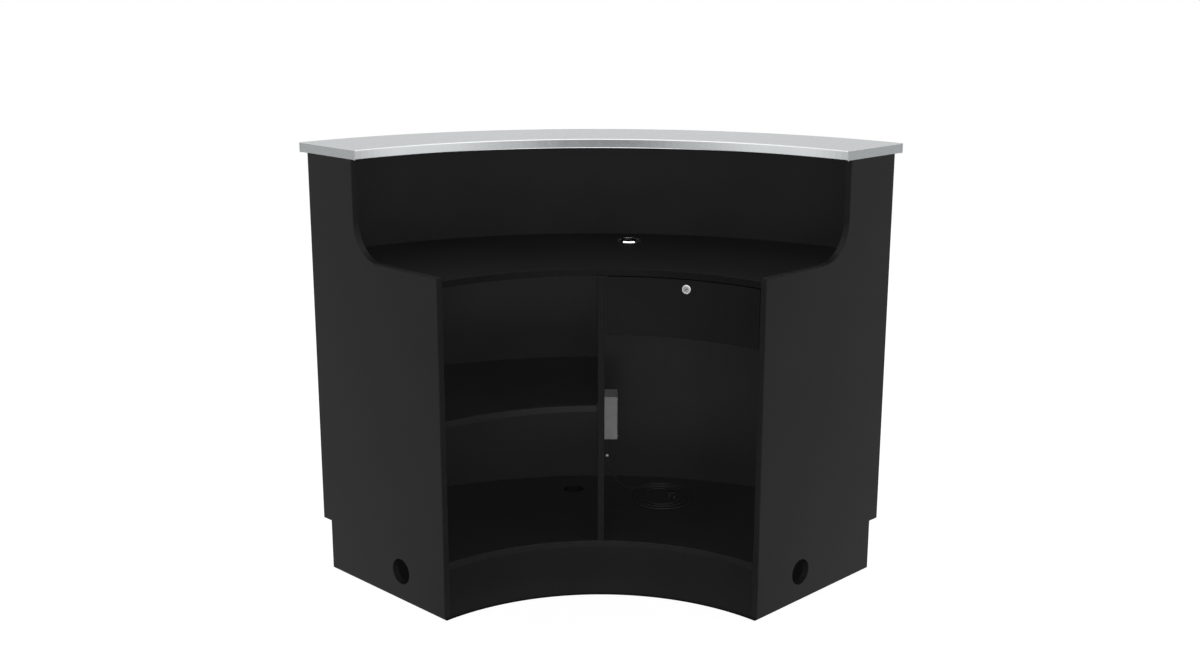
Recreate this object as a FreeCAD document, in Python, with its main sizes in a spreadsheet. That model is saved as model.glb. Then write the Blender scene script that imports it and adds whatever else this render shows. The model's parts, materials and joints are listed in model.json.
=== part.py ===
import FreeCAD, Part
import math
import os
import re
import Sketcher

# Curved reception desk, a quarter ring in plan. The carcass is built about the vertical axis through the
# centre of its arcs, +Y towards the customer, and is then moved so that the origin is under its middle.

doc = FreeCAD.newDocument("ReceptionDesk")
sheet = doc.addObject("Spreadsheet::Sheet", "Sizes")

sizes = [
    # carcass, in plan and in height
    ("sector_half", 45.0, "half of the plan angle, degrees"),
    ("inner_radius", 486.0, "staff-side edge of panels, base and kick board"),
    ("work_set", 6.0, "work surface edge behind the panel edges"),
    ("shelf_set", 18.0, "shelf edge behind the panel edges"),
    ("front_radius", 936.0, "customer face of the front panel"),
    ("upper_deep", 165.0, "upper part of the end panels, front to back"),
    ("toe_depth", 30.0, "toe kick behind the front panel"),
    ("counter_inset", 16.0, "counter past the upper panel edge, staff side"),
    ("counter_over", 29.0, "counter past the front panel, customer side"),
    ("total_high", 1012.0, "floor to counter top"),
    ("counter_thick", 22.0, "counter board"),
    ("counter_round", 2.0, "rounded edges of the counter"),
    ("board", 15.0, "laminated board"),
    ("board_round", 1.5, "rounded front edge of boards"),
    ("edge_round", 1.0, "rounded edges of end panels, divider and drawer front"),
    ("front_thick", 9.0, "bent front panel"),
    ("kick_thick", 9.0, "bent kick boards"),
    ("work_high", 760.0, "top of the work surface"),
    ("panel_lip", 9.0, "end panel step above the work surface"),
    ("step_round", 85.0, "hollow round of the end panel step"),
    ("base_high", 130.0, "top of the base panel"),
    ("toe_high", 118.0, "toe notch in the end panels"),
    ("shelf_high", 446.0, "top of the shelf"),
    ("fit_gap", 0.2, "clearance where a board meets the bent front"),
    # cable holes and grommet
    ("side_hole_radius", 640.0, "side cable hole, distance from the arc centre"),
    ("side_hole_high", 68.0, "side cable hole, height"),
    ("side_hole_bore", 60.0, "side cable hole"),
    ("base_hole_back", 104.0, "base cable hole behind the customer face"),
    ("base_hole_angle", -4.6, "base cable hole, angle from the middle"),
    ("base_hole_bore", 50.0, "base cable hole"),
    ("grommet_back", 108.0, "grommet behind the customer face"),
    ("grommet_angle", 4.7, "grommet, angle from the middle"),
    ("grommet_bore", 48.0, "clear way through the grommet"),
    ("grommet_wall", 1.8, "grommet sleeve"),
    ("grommet_lip", 3.6, "grommet flange past its sleeve"),
    ("grommet_rise", 3.8, "grommet flange above the work surface"),
    ("grommet_slope", 2.0, "sloping rim of the grommet"),
    ("grommet_foot", 0.5, "upright foot of the sloping rim"),
    ("grommet_round", 0.4, "rounded edges of the grommet"),
    ("grommet_fit", 0.25, "sleeve in its hole"),
    # shelf pins
    ("pin_bore", 5.0, "shelf pin"),
    ("pin_sunk", 9.0, "pin in the board"),
    ("pin_reach", 8.0, "pin under the shelf"),
    ("pin_fit", 0.1, "pin in its hole and under the shelf"),
    ("pin_front", 70.0, "front pins behind the shelf edge"),
    ("pin_rear", 60.0, "rear pins before the front panel"),
    ("shelf_play", 0.3, "shelf beside the panels"),
    # drawer
    ("drawer_gap", 3.0, "drawer front beside the opening"),
    ("drawer_top_gap", 2.0, "drawer front under the work surface"),
    ("drawer_set", 3.0, "drawer front behind the panel edges"),
    ("drawer_high", 130.0, "drawer front"),
    ("box_half", 130.0, "half width of the drawer box"),
    ("side_high", 88.0, "drawer sides"),
    ("box_lift", 12.0, "drawer sides above the lower edge of the front"),
    ("box_wall", 12.0, "drawer sides and back"),
    ("bottom_thick", 5.0, "drawer bottom"),
    ("bottom_lift", 10.0, "drawer bottom above the lower edge of the sides"),
    ("groove_deep", 5.0, "groove for the drawer bottom"),
    ("groove_fit", 0.2, "drawer bottom in its groove"),
    # slides
    ("slide_set", 4.0, "front end of the slides behind the panel edges"),
    ("slide_back", 96.0, "rear end of the slides behind the customer face"),
    ("slide_high", 45.0, "cabinet member"),
    ("slide_thick", 12.7, "whole slide"),
    ("slide_sheet", 1.2, "slide sheet"),
    ("slide_clear", 0.4, "running clearance between members"),
    ("slide_rail", 4.5, "middle member's ball rails"),
    ("slide_lip", 1.6, "turned-in lips that hold the next member"),
    ("hanger_drop", 30.0, "hanging boards below the slides' middle"),
    # lock
    ("lock_drop", 20.0, "lock below the top of the drawer front"),
    ("lock_face", 20.0, "lock flange"),
    ("lock_rim", 2.5, "lock flange thickness"),
    ("lock_body", 17.0, "lock barrel"),
    ("lock_long", 24.0, "lock barrel behind its flange"),
    ("lock_fit", 0.2, "barrel in its hole"),
    ("plug_bore", 12.5, "bore for the plug"),
    ("plug_clear", 0.3, "plug in its bore"),
    ("plug_sunk", 0.5, "plug face behind the flange face"),
    ("key_long", 8.0, "keyway"),
    ("key_wide", 1.6, "keyway"),
    ("key_deep", 5.0, "keyway"),
    ("key_turn", 40.0, "angle of the keyway, degrees"),
    ("nut_across", 23.0, "lock nut"),
    ("nut_thick", 3.5, "lock nut"),
    ("tail", 6.0, "plug tail in the cam"),
    ("cam_thick", 2.0, "cam"),
    ("cam_wide", 12.0, "cam"),
    ("cam_reach", 18.0, "cam from its axis to its tip"),
    ("cam_clear", 0.4, "cam behind the barrel"),
    ("screw_head", 8.0, "cam screw head"),
    ("screw_thick", 2.0, "cam screw head"),
    ("keeper_sheet", 1.5, "keeper"),
    ("keeper_drop", 11.0, "keeper below the work surface"),
    ("keeper_foot", 22.0, "keeper foot along the slide way"),
    ("keeper_wide", 36.0, "keeper"),
    ("keeper_clear", 0.8, "keeper before the cam"),
    # power supply on the divider
    ("driver_back", 196.0, "near face of the power supply behind the customer face"),
    ("driver_low", 289.0, "lower end of the power supply"),
    ("driver_deep", 68.0, "power supply along the divider"),
    ("driver_wide", 33.5, "power supply off the divider"),
    ("driver_tall", 106.0, "power supply"),
    ("driver_sheet", 1.5, "power supply sheet"),
    ("driver_round", 3.0, "outer side of the power supply's bends"),
    ("vent_wide", 3.0, "vent slot"),
    ("vent_tall", 34.0, "vent slot"),
    ("vent_step", 8.0, "vent slots apart"),
    ("gland_bore", 9.0, "strain relief"),
    ("gland_long", 9.0, "strain relief"),
    ("gland_wall", 1.5, "strain relief at its thin end"),
    # cord
    ("cord_bore", 3.6, "cord"),
    ("cord_fit", 0.1, "cord in its strain relief"),
    ("cord_off", 9.0, "cord off the divider"),
    ("lead_long", 40.7, "lead from the strain relief to the connector"),
    ("link_wide", 6.0, "white connector"),
    ("link_deep", 6.0, "white connector"),
    ("link_tall", 4.6, "white connector"),
    ("cord_rest", 0.3, "cord above the base panel"),
    ("run_plumb", 26.2, "cord hangs straight below the connector"),
    ("run_side", 23.0, "first bend beside the connector"),
    ("run_rear", 15.0, "first bend towards the customer face"),
    ("run_fall", 66.2, "first bend below the connector"),
    ("land_side", 66.0, "cord comes down, right of the middle"),
    ("land_back", 129.0, "cord comes down, behind the customer face"),
    ("land_rise", 6.5, "cord above its lying height as it comes down"),
    ("drag_side", 94.0, "cord lies flat, right of the middle"),
    ("drag_back", 106.0, "cord lies flat, behind the customer face"),
    ("coil_lead", 121.0, "cord turns into the coil, right of the middle"),
    ("coil_side", 152.0, "coil starts, right of the middle"),
    ("coil_back", 74.0, "coil starts, behind the customer face"),
    ("coil_turn", 72.0, "first quarter turn of the coil"),
    ("plug_long", 27.0, "mains plug body"),
    ("plug_wide", 24.0, "mains plug body"),
    ("plug_tall", 15.0, "mains plug body"),
    ("blade_long", 16.0, "plug blade"),
    ("blade_wide", 6.3, "plug blade"),
    ("blade_thick", 1.5, "plug blade"),
    ("blade_step", 12.7, "plug blades apart"),
]

alias_words = set()
for row, (alias, value, note) in enumerate(sizes, start=1):
    sheet.set("A%d" % row, alias)
    sheet.set("B%d" % row, str(value))
    sheet.set("C%d" % row, note)
    sheet.setAlias("B%d" % row, alias)
    alias_words.add(alias)
doc.recompute()

# Sizes that follow from others: what lies before the customer face keeps its distance from it.
derived = {
    "upper_radius": "(front_radius - upper_deep)",
    "base_hole_radius": "(front_radius - base_hole_back)",
    "grommet_radius": "(front_radius - grommet_back)",
    "driver_y": "(front_radius - driver_back)",
    "slide_start": "(inner_radius + slide_set)",
    "slide_long": "(front_radius - slide_back - inner_radius - slide_set)",
}


def sized(text):
    # Turns plain size names into references to the sheet.
    def named(found):
        word = found.group(0)
        if word in derived:
            return sized(derived[word])
        return "Sizes." + word if word in alias_words else word
    return re.sub(r"[A-Za-z_][A-Za-z_0-9]*", named, str(text))


def value_of(text):
    # Reads a size, or a sum of sizes, from the sheet.
    found = sheet.evalExpression(sized(text))
    return float(getattr(found, "Value", found))


def bind(feature, **lengths):
    for prop, text in lengths.items():
        feature.setExpression(prop, sized(text))
    return feature


def set_at(feature, x="0", y="0", z="0"):
    for axis, text in (("x", x), ("y", y), ("z", z)):
        feature.setExpression("Placement.Base." + axis, sized(text))
    return feature


# Places that several pieces share, written once.
panel_top = "(work_high + panel_lip)"
counter_low = "(total_high - counter_thick)"
counter_in = "(upper_radius - counter_inset)"
counter_out = "(front_radius + counter_over)"
front_in = "(front_radius - front_thick)"
toe_radius = "(front_radius - toe_depth)"
board_back = "(front_radius - front_thick - fit_gap)"
work_low = "(work_high - board)"
base_low = "(base_high - board)"
shelf_low = "(shelf_high - board)"
shelf_edge = "(inner_radius + shelf_set)"
arc_y = "(-(inner_radius * cos(sector_half) + front_radius + counter_over) / 2)"

# The right bay is seen along its middle line: local X across it and local Y along it, away from the staff.
bay_turn = "(sector_half / 2)"
bay_mid = "(-board / 4 * cos(sector_half / 2))"
bay_half = "(inner_radius * sin(sector_half / 2) - board * 3 / 4 * cos(sector_half / 2))"
front_half = "(%s - drawer_gap)" % bay_half
face_radius = "(inner_radius + drawer_set)"
rear_radius = "(inner_radius + drawer_set + board)"
front_top = "(%s - drawer_top_gap)" % work_low
front_low = "(%s - drawer_high)" % front_top
box_low = "(%s + box_lift)" % front_low
box_front = "(%s + fit_gap)" % rear_radius
box_back = "(slide_start + slide_long)"
bottom_low = "(%s + bottom_lift)" % box_low
slide_mid = "(%s + side_high / 2)" % box_low
lock_high = "(%s - lock_drop)" % front_top
lock_seat = "(sqrt(%s ^ 2 - (board / 4 + lock_face / 2) ^ 2) - fit_gap / 4)" % face_radius
cam_front = "(%s + lock_long + cam_clear)" % lock_seat

pieces = []


def piece(feature, label, turn="0", x="0", y="0", z="0"):
    # Gives a finished sub-part its name and its place on the desk. The turn is clockwise seen from above.
    feature.Label = label
    feature.setExpression("Placement.Rotation.Angle", sized("-(%s)" % turn))
    set_at(
        feature,
        "(%s) * cos(%s) + (%s) * sin(%s)" % (x, turn, y, turn),
        "%s - (%s) * sin(%s) + (%s) * cos(%s)" % (arc_y, x, turn, y, turn),
        z,
    )
    pieces.append(feature)
    return feature


def box(name, x, y, z, wide, deep, high):
    block = doc.addObject("Part::Box", name)
    bind(block, Length=wide, Width=deep, Height=high)
    return set_at(block, x, y, z)


def post(name, radius, z, high, x="0", y="0"):
    solid = doc.addObject("Part::Cylinder", name)
    bind(solid, Radius=radius, Height=high)
    return set_at(solid, x, y, z)


def rod_along_y(name, radius, x, y, z, long):
    solid = post(name, radius, z, long, x, y)
    solid.Placement = FreeCAD.Placement(FreeCAD.Vector(), FreeCAD.Rotation(FreeCAD.Vector(1, 0, 0), -90))
    return set_at(solid, x, y, z)


def cut(name, base, *tools):
    for count, tool in enumerate(tools):
        step = doc.addObject("Part::Cut", name + ("_%d" % count if count else ""))
        step.Base = base
        step.Tool = tool
        base = step
    return base


def common(name, base, tool):
    both = doc.addObject("Part::Common", name)
    both.Base = base
    both.Tool = tool
    return both


def fuse(name, *solids):
    joined = doc.addObject("Part::MultiFuse", name)
    joined.Shapes = list(solids)
    return joined


def group(name, solids):
    loose = doc.addObject("Part::Compound", name)
    loose.Links = list(solids)
    return loose


def ring(name, r_in, r_out, z, high):
    # Ring sector over the whole plan angle.
    outer = post(name + "_outer", r_out, z, high)
    bind(outer, Angle="2 * sector_half")
    outer.setExpression("Placement.Rotation.Angle", sized("90 - sector_half"))
    inner = post(name + "_inner", r_in, "%s - board" % z, "%s + 2 * board" % high)
    return cut(name + "_ring", outer, inner)


def new_body(name):
    return doc.addObject("PartDesign::Body", name)


def draw(body, name, role, outline, holes=(), offset="0"):
    # Closed outline whose corners are placed by sizes, with optional round holes (x, y, diameter).
    sketch = body.newObject("Sketcher::SketchObject", name)
    plane = [item for item in body.Origin.OriginFeatures if item.Role == role][0]
    sketch.AttachmentSupport = [(plane, "")]
    sketch.MapMode = "FlatFace"
    sketch.setExpression("AttachmentOffset.Base.z", sized(offset))
    corners = [FreeCAD.Vector(value_of(x), value_of(y), 0) for x, y in outline]
    count = len(corners)
    for i in range(count):
        sketch.addGeometry(Part.LineSegment(corners[i], corners[(i + 1) % count]), False)
    for i in range(count):
        sketch.addConstraint(Sketcher.Constraint("Coincident", i, 2, (i + 1) % count, 1))
    for i, (x, y) in enumerate(outline):
        drive(sketch, Sketcher.Constraint("DistanceX", -1, 1, i, 1, corners[i].x), x)
        drive(sketch, Sketcher.Constraint("DistanceY", -1, 1, i, 1, corners[i].y), y)
    for x, y, bore in holes:
        middle = FreeCAD.Vector(value_of(x), value_of(y), 0)
        circle = sketch.addGeometry(Part.Circle(middle, FreeCAD.Vector(0, 0, 1), value_of(bore) / 2), False)
        drive(sketch, Sketcher.Constraint("DistanceX", -1, 1, circle, 3, middle.x), x)
        drive(sketch, Sketcher.Constraint("DistanceY", -1, 1, circle, 3, middle.y), y)
        drive(sketch, Sketcher.Constraint("Diameter", circle, value_of(bore)), bore)
    return sketch


def drive(sketch, constraint, text):
    index = sketch.addConstraint(constraint)
    sketch.setExpression("Constraints[%d]" % index, sized(text))


def pad(body, sketch, length, reverse=False):
    feature = body.newObject("PartDesign::Pad", sketch.Name + "_pad")
    feature.Profile = sketch
    feature.Reversed = reverse
    return bind(feature, Length=length)


def pocket(body, sketch, length, reverse=False):
    before = body.Shape.Volume
    feature = body.newObject("PartDesign::Pocket", sketch.Name + "_pocket")
    feature.Profile = sketch
    feature.Reversed = reverse
    bind(feature, Length=length)
    doc.recompute()
    if body.Shape.Volume >= before:
        raise RuntimeError(sketch.Name + " cuts nothing")
    return feature


def spin(body, sketch, axis, angle="360"):
    feature = body.newObject("PartDesign::Revolution", sketch.Name + "_turned")
    feature.Profile = sketch
    feature.ReferenceAxis = (sketch, [axis])
    return bind(feature, Angle=angle)


def edges_where(shape, wanted):
    return ["Edge%d" % i for i, edge in enumerate(shape.Edges, start=1) if wanted(edge)]


def round_edges(body, radius, wanted):
    doc.recompute()
    last = body.Tip
    feature = body.newObject("PartDesign::Fillet", body.Name + "_round")
    feature.Base = (last, edges_where(last.Shape, wanted))
    return bind(feature, Radius=radius)


def round_front(label, board_solid, radius, low, high):
    # Rounds the two long edges of a board's curved front.
    doc.recompute()
    at, z_low, z_high = value_of(radius), value_of(low), value_of(high)

    def on_front(edge):
        curve = edge.Curve
        if not isinstance(curve, Part.Circle) or abs(curve.Radius - at) > 0.01:
            return False
        return min(abs(curve.Center.z - z_low), abs(curve.Center.z - z_high)) < 0.01
    names = edges_where(board_solid.Shape, on_front)
    feature = doc.addObject("Part::Fillet", label + "_front")
    feature.Base = board_solid
    amount = value_of("board_round")
    feature.Edges = [(int(name[4:]), amount, amount) for name in names]
    return feature


# Slabs that take the end panels' room, for trimming what stands between the panels.
slab_long = counter_out + " + board"
slab_size = (slab_long, "2 * board", "2 * total_high")
right_slab = box("right_slab", "0", "0", "-board", *slab_size)
right_slab.setExpression("Placement.Rotation.Angle", sized("90 - sector_half"))
set_at(right_slab, "board * sin(90 - sector_half)", "-board * cos(90 - sector_half)", "-board")
left_slab = box("left_slab", "0", "0", "-board", *slab_size)
left_slab.setExpression("Placement.Rotation.Angle", sized("90 + sector_half"))
set_at(left_slab, "board * sin(90 + sector_half)", "-board * cos(90 + sector_half)", "-board")


def between_panels(name, solid):
    return cut(name, solid, right_slab, left_slab)


# End panels: one outline, padded inwards from the outer face.
panel_outline = [
    ("inner_radius", "0"),
    (toe_radius, "0"),
    (toe_radius, "toe_high"),
    ("front_radius", "toe_high"),
    ("front_radius", counter_low),
    ("upper_radius", counter_low),
    ("upper_radius", panel_top),
    ("inner_radius", panel_top),
]
cable_hole = [("side_hole_radius", "side_hole_high", "side_hole_bore")]
pin_high = "(%s - pin_bore / 2 - pin_fit)" % shelf_low
pin_places = ["(%s + pin_front)" % shelf_edge, "(%s - pin_rear)" % front_in]
panel_pins = [(place, pin_high, "pin_bore + 2 * pin_fit") for place in pin_places]


def end_panel(label, side):
    body = new_body(label)
    pad(body, draw(body, label + "_outline", "XZ_Plane", panel_outline, cable_hole), "board", side > 0)
    corner_x, corner_z = value_of("upper_radius"), value_of(panel_top)

    def step_corner(edge):
        middle = edge.CenterOfMass
        return abs(middle.x - corner_x) < 0.01 and abs(middle.z - corner_z) < 0.01
    round_edges(body, "step_round", step_corner)
    doc.recompute()
    faces_at = (0.0, value_of("board"))
    bore = value_of("side_hole_bore / 2")

    def face_edge(edge):
        box_of = edge.BoundBox
        on_face = box_of.YLength < 0.01 and min(abs(abs(box_of.YMin) - at) for at in faces_at) < 0.01
        is_bore = isinstance(edge.Curve, Part.Circle) and abs(edge.Curve.Radius - bore) < 0.01
        return on_face and not is_bore
    round_edges(body, "edge_round", face_edge)
    doc.recompute()
    return body


right_panel = end_panel("right_end_panel", 1)
piece(right_panel, "right_end_panel", "sector_half - 90")

left_panel = end_panel("left_end_panel", -1)
for count, rim in enumerate(panel_pins):
    sketch = draw(left_panel, "left_pin_%d" % count, "XZ_Plane", [], [rim], "board")
    pocket(left_panel, sketch, "pin_sunk + pin_fit")
piece(left_panel, "left_end_panel", "-sector_half - 90")

# Bent boards and flat ring boards between the panels.
front_high = "(%s - toe_high)" % counter_low
front_ring = ring("front_panel", front_in, "front_radius", "toe_high", front_high)
piece(between_panels("front_panel_trim", front_ring), "front_panel")

toe_ring = ring("toe_kick", "(%s - kick_thick)" % toe_radius, toe_radius, "0", base_low)
piece(between_panels("toe_kick_trim", toe_ring), "toe_kick")

kick_ring = ring("kick_board", "inner_radius", "(inner_radius + kick_thick)", "0", base_low)
piece(between_panels("kick_board_trim", kick_ring), "kick_board")

base_ring = ring("base_panel", "inner_radius", board_back, base_low, "board")
base_hole = post(
    "base_hole", "base_hole_bore / 2", "0", "2 * base_high",
    "base_hole_radius * sin(base_hole_angle)", "base_hole_radius * cos(base_hole_angle)",
)
base_solid = cut("base_panel_hole", between_panels("base_panel_trim", base_ring), base_hole)
piece(round_front("base_panel", base_solid, "inner_radius", base_low, "base_high"), "base_panel")

divider_box = box(
    "divider_board", "-board / 2", "inner_radius", "base_high",
    "board", "%s - inner_radius" % board_back, "%s - base_high" % work_low,
)
divider_holes = []
for count, place in enumerate(pin_places):
    bore = post("divider_pin_%d" % count, "pin_bore / 2 + pin_fit", "0", "pin_sunk + pin_fit")
    bore.Placement = FreeCAD.Placement(FreeCAD.Vector(), FreeCAD.Rotation(FreeCAD.Vector(0, 1, 0), 90))
    set_at(bore, "-board / 2", place, pin_high)
    divider_holes.append(bore)
divider_cut = cut("divider_holes", divider_box, *divider_holes)
doc.recompute()
divider_front = value_of("inner_radius")


def divider_edge(edge):
    upright = edge.BoundBox.ZLength > value_of("work_high") / 2
    return upright and abs(edge.CenterOfMass.y - divider_front) < 0.01


divider_round = doc.addObject("Part::Fillet", "divider_front")
divider_round.Base = divider_cut
edge_amount = value_of("edge_round")
divider_round.Edges = [
    (int(name[4:]), edge_amount, edge_amount) for name in edges_where(divider_cut.Shape, divider_edge)
]
piece(divider_round, "divider")

shelf_ring = ring("mid_shelf", shelf_edge, board_back, shelf_low, "board")
right_half = box(
    "right_half", "-board / 2 - shelf_play", "0", "0", counter_out, counter_out, "2 * total_high",
)
shelf_trim = between_panels("mid_shelf_trim", cut("mid_shelf_half", shelf_ring, right_half))
piece(round_front("mid_shelf", shelf_trim, shelf_edge, shelf_low, "shelf_high"), "mid_shelf")

work_edge = "(inner_radius + work_set)"
grommet_x = "grommet_radius * sin(grommet_angle)"
grommet_y = "grommet_radius * cos(grommet_angle)"
sleeve_out = "(grommet_bore / 2 + grommet_wall)"
work_ring = ring("work_surface", work_edge, board_back, work_low, "board")
work_hole = post(
    "work_hole", sleeve_out + " + grommet_fit", work_low + " - board", "3 * board", grommet_x, grommet_y,
)
work_solid = cut("work_surface_hole", between_panels("work_surface_trim", work_ring), work_hole)
piece(round_front("work_surface", work_solid, work_edge, work_low, "work_high"), "work_surface")

counter_body = new_body("counter_top")
counter_sketch = draw(
    counter_body, "counter_section", "XZ_Plane",
    [
        (counter_in, counter_low),
        (counter_out, counter_low),
        (counter_out, "total_high"),
        (counter_in, "total_high"),
    ],
)
spin(counter_body, counter_sketch, "V_Axis", "2 * sector_half")
round_edges(counter_body, "counter_round", lambda edge: True)
piece(counter_body, "counter_top", "sector_half - 90")

# Shelf pins: two in the end panel and two in the divider.
pins = []
for count, place in enumerate(pin_places):
    across = post("panel_pin_%d" % count, "pin_bore / 2", "0", "pin_sunk + pin_reach")
    turn = FreeCAD.Rotation(FreeCAD.Vector(0, 0, 1), 90 + value_of("sector_half"))
    lie = FreeCAD.Rotation(FreeCAD.Vector(1, 0, 0), 90)
    across.Placement = FreeCAD.Placement(FreeCAD.Vector(), turn.multiply(lie))
    inward = "(board - pin_sunk)"
    set_at(
        across,
        "-(%s) * sin(sector_half) + %s * cos(sector_half)" % (place, inward),
        "(%s) * cos(sector_half) + %s * sin(sector_half)" % (place, inward),
        pin_high,
    )
    pins.append(across)
    stub = post("divider_stub_%d" % count, "pin_bore / 2", "0", "pin_sunk + pin_reach")
    stub.Placement = FreeCAD.Placement(FreeCAD.Vector(), FreeCAD.Rotation(FreeCAD.Vector(0, 1, 0), -90))
    set_at(stub, "-board / 2 + pin_sunk", place, pin_high)
    pins.append(stub)
piece(group("pin_set", pins), "shelf_pins")

# Grommet: a flanged sleeve with a sloping rim, turned about its own axis.
grommet_body = new_body("grommet_ring")
flange_out = "(%s + grommet_lip)" % sleeve_out
flange_top = "(work_high + grommet_rise)"
grommet_sketch = draw(grommet_body, "grommet_section", "XZ_Plane", [
    ("grommet_bore / 2", work_low),
    (sleeve_out, work_low),
    (sleeve_out, "work_high"),
    (flange_out, "work_high"),
    (flange_out, "work_high + grommet_foot"),
    ("%s - grommet_slope" % flange_out, flange_top),
    ("grommet_bore / 2", flange_top),
])
spin(grommet_body, grommet_sketch, "V_Axis")
rim_level = value_of(flange_top)
round_edges(grommet_body, "grommet_round", lambda edge: edge.BoundBox.ZMin > rim_level - 0.01)
piece(grommet_body, "grommet_ring", "0", grommet_x, grommet_y)

# Drawer front: a bent board trimmed straight at both ends, with the hole for the lock.
front_outer = post("drawer_front_outer", rear_radius, front_low, "drawer_high")
front_inner = post("drawer_front_inner", face_radius, "%s - board" % front_low, "drawer_high + 2 * board")
front_trim = box(
    "drawer_front_trim", "%s - %s" % (bay_mid, front_half), "0", front_low,
    "2 * %s" % front_half, rear_radius, "drawer_high",
)
lock_hole = rod_along_y(
    "lock_hole", "lock_body / 2 + lock_fit",
    bay_mid, "%s - 2 * board" % face_radius, lock_high, "4 * board",
)
front_bent = common("drawer_front_bent", cut("drawer_front_ring", front_outer, front_inner), front_trim)
front_cut = cut("drawer_front_hole", front_bent, lock_hole)
doc.recompute()
drawer_face = [
    face for face in front_cut.Shape.Faces
    if isinstance(face.Surface, Part.Cylinder) and abs(face.Surface.Radius - value_of(face_radius)) < 0.01
][0]


def face_border(edge):
    # The border of the face that shows, without the hole for the lock.
    return any(edge.isSame(other) for other in drawer_face.OuterWire.Edges)


front_round = doc.addObject("Part::Fillet", "drawer_front_round")
front_round.Base = front_cut
front_round.Edges = [
    (int(name[4:]), edge_amount, edge_amount) for name in edges_where(front_cut.Shape, face_border)
]
piece(front_round, "drawer_front", bay_turn)

# Drawer box: its sides and bottom run up to the bent front.
front_room = post("front_room", box_front, "0", "2 * total_high")


def groove(name, x):
    return box(
        name, x, "0", "%s - groove_fit" % bottom_low,
        "groove_deep", "2 * slide_long + slide_start", "bottom_thick + 2 * groove_fit",
    )


left_groove = groove("left_groove", "%s - box_half + box_wall - groove_deep" % bay_mid)
right_groove = groove("right_groove", "%s + box_half - box_wall" % bay_mid)


def drawer_side(label, x, slot):
    side = box(label + "_board", x, "0", box_low, "box_wall", box_back, "side_high")
    piece(cut(label + "_cut", side, front_room, slot), label, bay_turn)


drawer_side("drawer_side_left", "%s - box_half" % bay_mid, left_groove)
drawer_side("drawer_side_right", "%s + box_half - box_wall" % bay_mid, right_groove)

bottom_half = "(box_half - box_wall + groove_deep - groove_fit)"
bottom_board = box(
    "bottom_board", "%s - %s" % (bay_mid, bottom_half), "0", bottom_low,
    "2 * %s" % bottom_half, box_back, "bottom_thick",
)
piece(cut("drawer_bottom_cut", bottom_board, front_room), "drawer_bottom", bay_turn)

back_low = "(%s + bottom_thick)" % bottom_low
back_half = "(box_half - box_wall)"
back_at = ("%s - %s" % (bay_mid, back_half), "%s - box_wall" % box_back, back_low)
back_high = "%s + side_high - %s" % (box_low, back_low)
drawer_back = box("drawer_back_board", *back_at, "2 * %s" % back_half, "box_wall", back_high)
piece(drawer_back, "drawer_back", bay_turn, *back_at)

# Telescopic slides. Each section is drawn as (distance from the hanging board, height from the middle).
half = "(slide_high / 2)"
race = "(slide_high / 2 - slide_sheet)"
outer_depth = "(slide_thick - slide_sheet - 2 * slide_clear)"
mid_top = "(%s - slide_clear)" % race
mid_web = "(slide_sheet + slide_clear)"
mid_depth = "(%s - slide_sheet - slide_clear)" % outer_depth
mid_race = "(%s - slide_rail)" % mid_top
run_top = "(%s - slide_clear)" % mid_race
run_web = "(%s + slide_sheet + slide_clear)" % mid_web
run_neck = "(%s - slide_lip - slide_clear)" % mid_race
run_depth = "(%s - slide_sheet - slide_clear)" % mid_depth

cabinet_half = [
    ("0", half),
    (outer_depth, half),
    (outer_depth, "%s - slide_lip" % race),
    ("%s - slide_sheet" % outer_depth, "%s - slide_lip" % race),
    ("%s - slide_sheet" % outer_depth, race),
    ("slide_sheet", race),
]
middle_half = [
    (mid_web, mid_top),
    (mid_depth, mid_top),
    (mid_depth, "%s - slide_lip" % mid_race),
    ("%s - slide_sheet" % mid_depth, "%s - slide_lip" % mid_race),
    ("%s - slide_sheet" % mid_depth, mid_race),
    ("%s + slide_sheet" % mid_web, mid_race),
]
runner_half = [
    ("slide_thick", run_neck),
    (run_depth, run_neck),
    (run_depth, run_top),
    (run_web, run_top),
    (run_web, "%s - slide_sheet" % run_neck),
    ("slide_thick - slide_sheet", "%s - slide_sheet" % run_neck),
]


def slide_member(label, half_outline, side):
    # Upper half of the section and its mirror image, padded along the bay's middle line.
    body = new_body(label)
    start = "(%s - %d * (box_half + slide_thick))" % (bay_mid, side)
    across = [("%s + %d * (%s)" % (start, side, x), z) for x, z in half_outline]
    upper = [(x, "%s + (%s)" % (slide_mid, z)) for x, z in across]
    lower = [(x, "%s - (%s)" % (slide_mid, z)) for x, z in reversed(across)]
    sketch = draw(body, label + "_section", "XZ_Plane", upper + lower, (), "-slide_start")
    pad(body, sketch, "slide_long", True)
    piece(body, label, bay_turn)


for side, word in ((1, "left"), (-1, "right")):
    slide_member("slide_cabinet_" + word, cabinet_half, side)
    slide_member("slide_middle_" + word, middle_half, side)
    slide_member("slide_runner_" + word, runner_half, side)


def hanger(label, x):
    low = "(%s - hanger_drop)" % slide_mid
    board_solid = box(
        label + "_board", x, "slide_start", low, "board", "slide_long", "%s - %s" % (work_low, low),
    )
    piece(board_solid, label, bay_turn, x, "slide_start", low)


hanger("drawer_hanger_left", "(%s - box_half - slide_thick - board)" % bay_mid)
hanger("drawer_hanger_right", "(%s + box_half + slide_thick)" % bay_mid)

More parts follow.
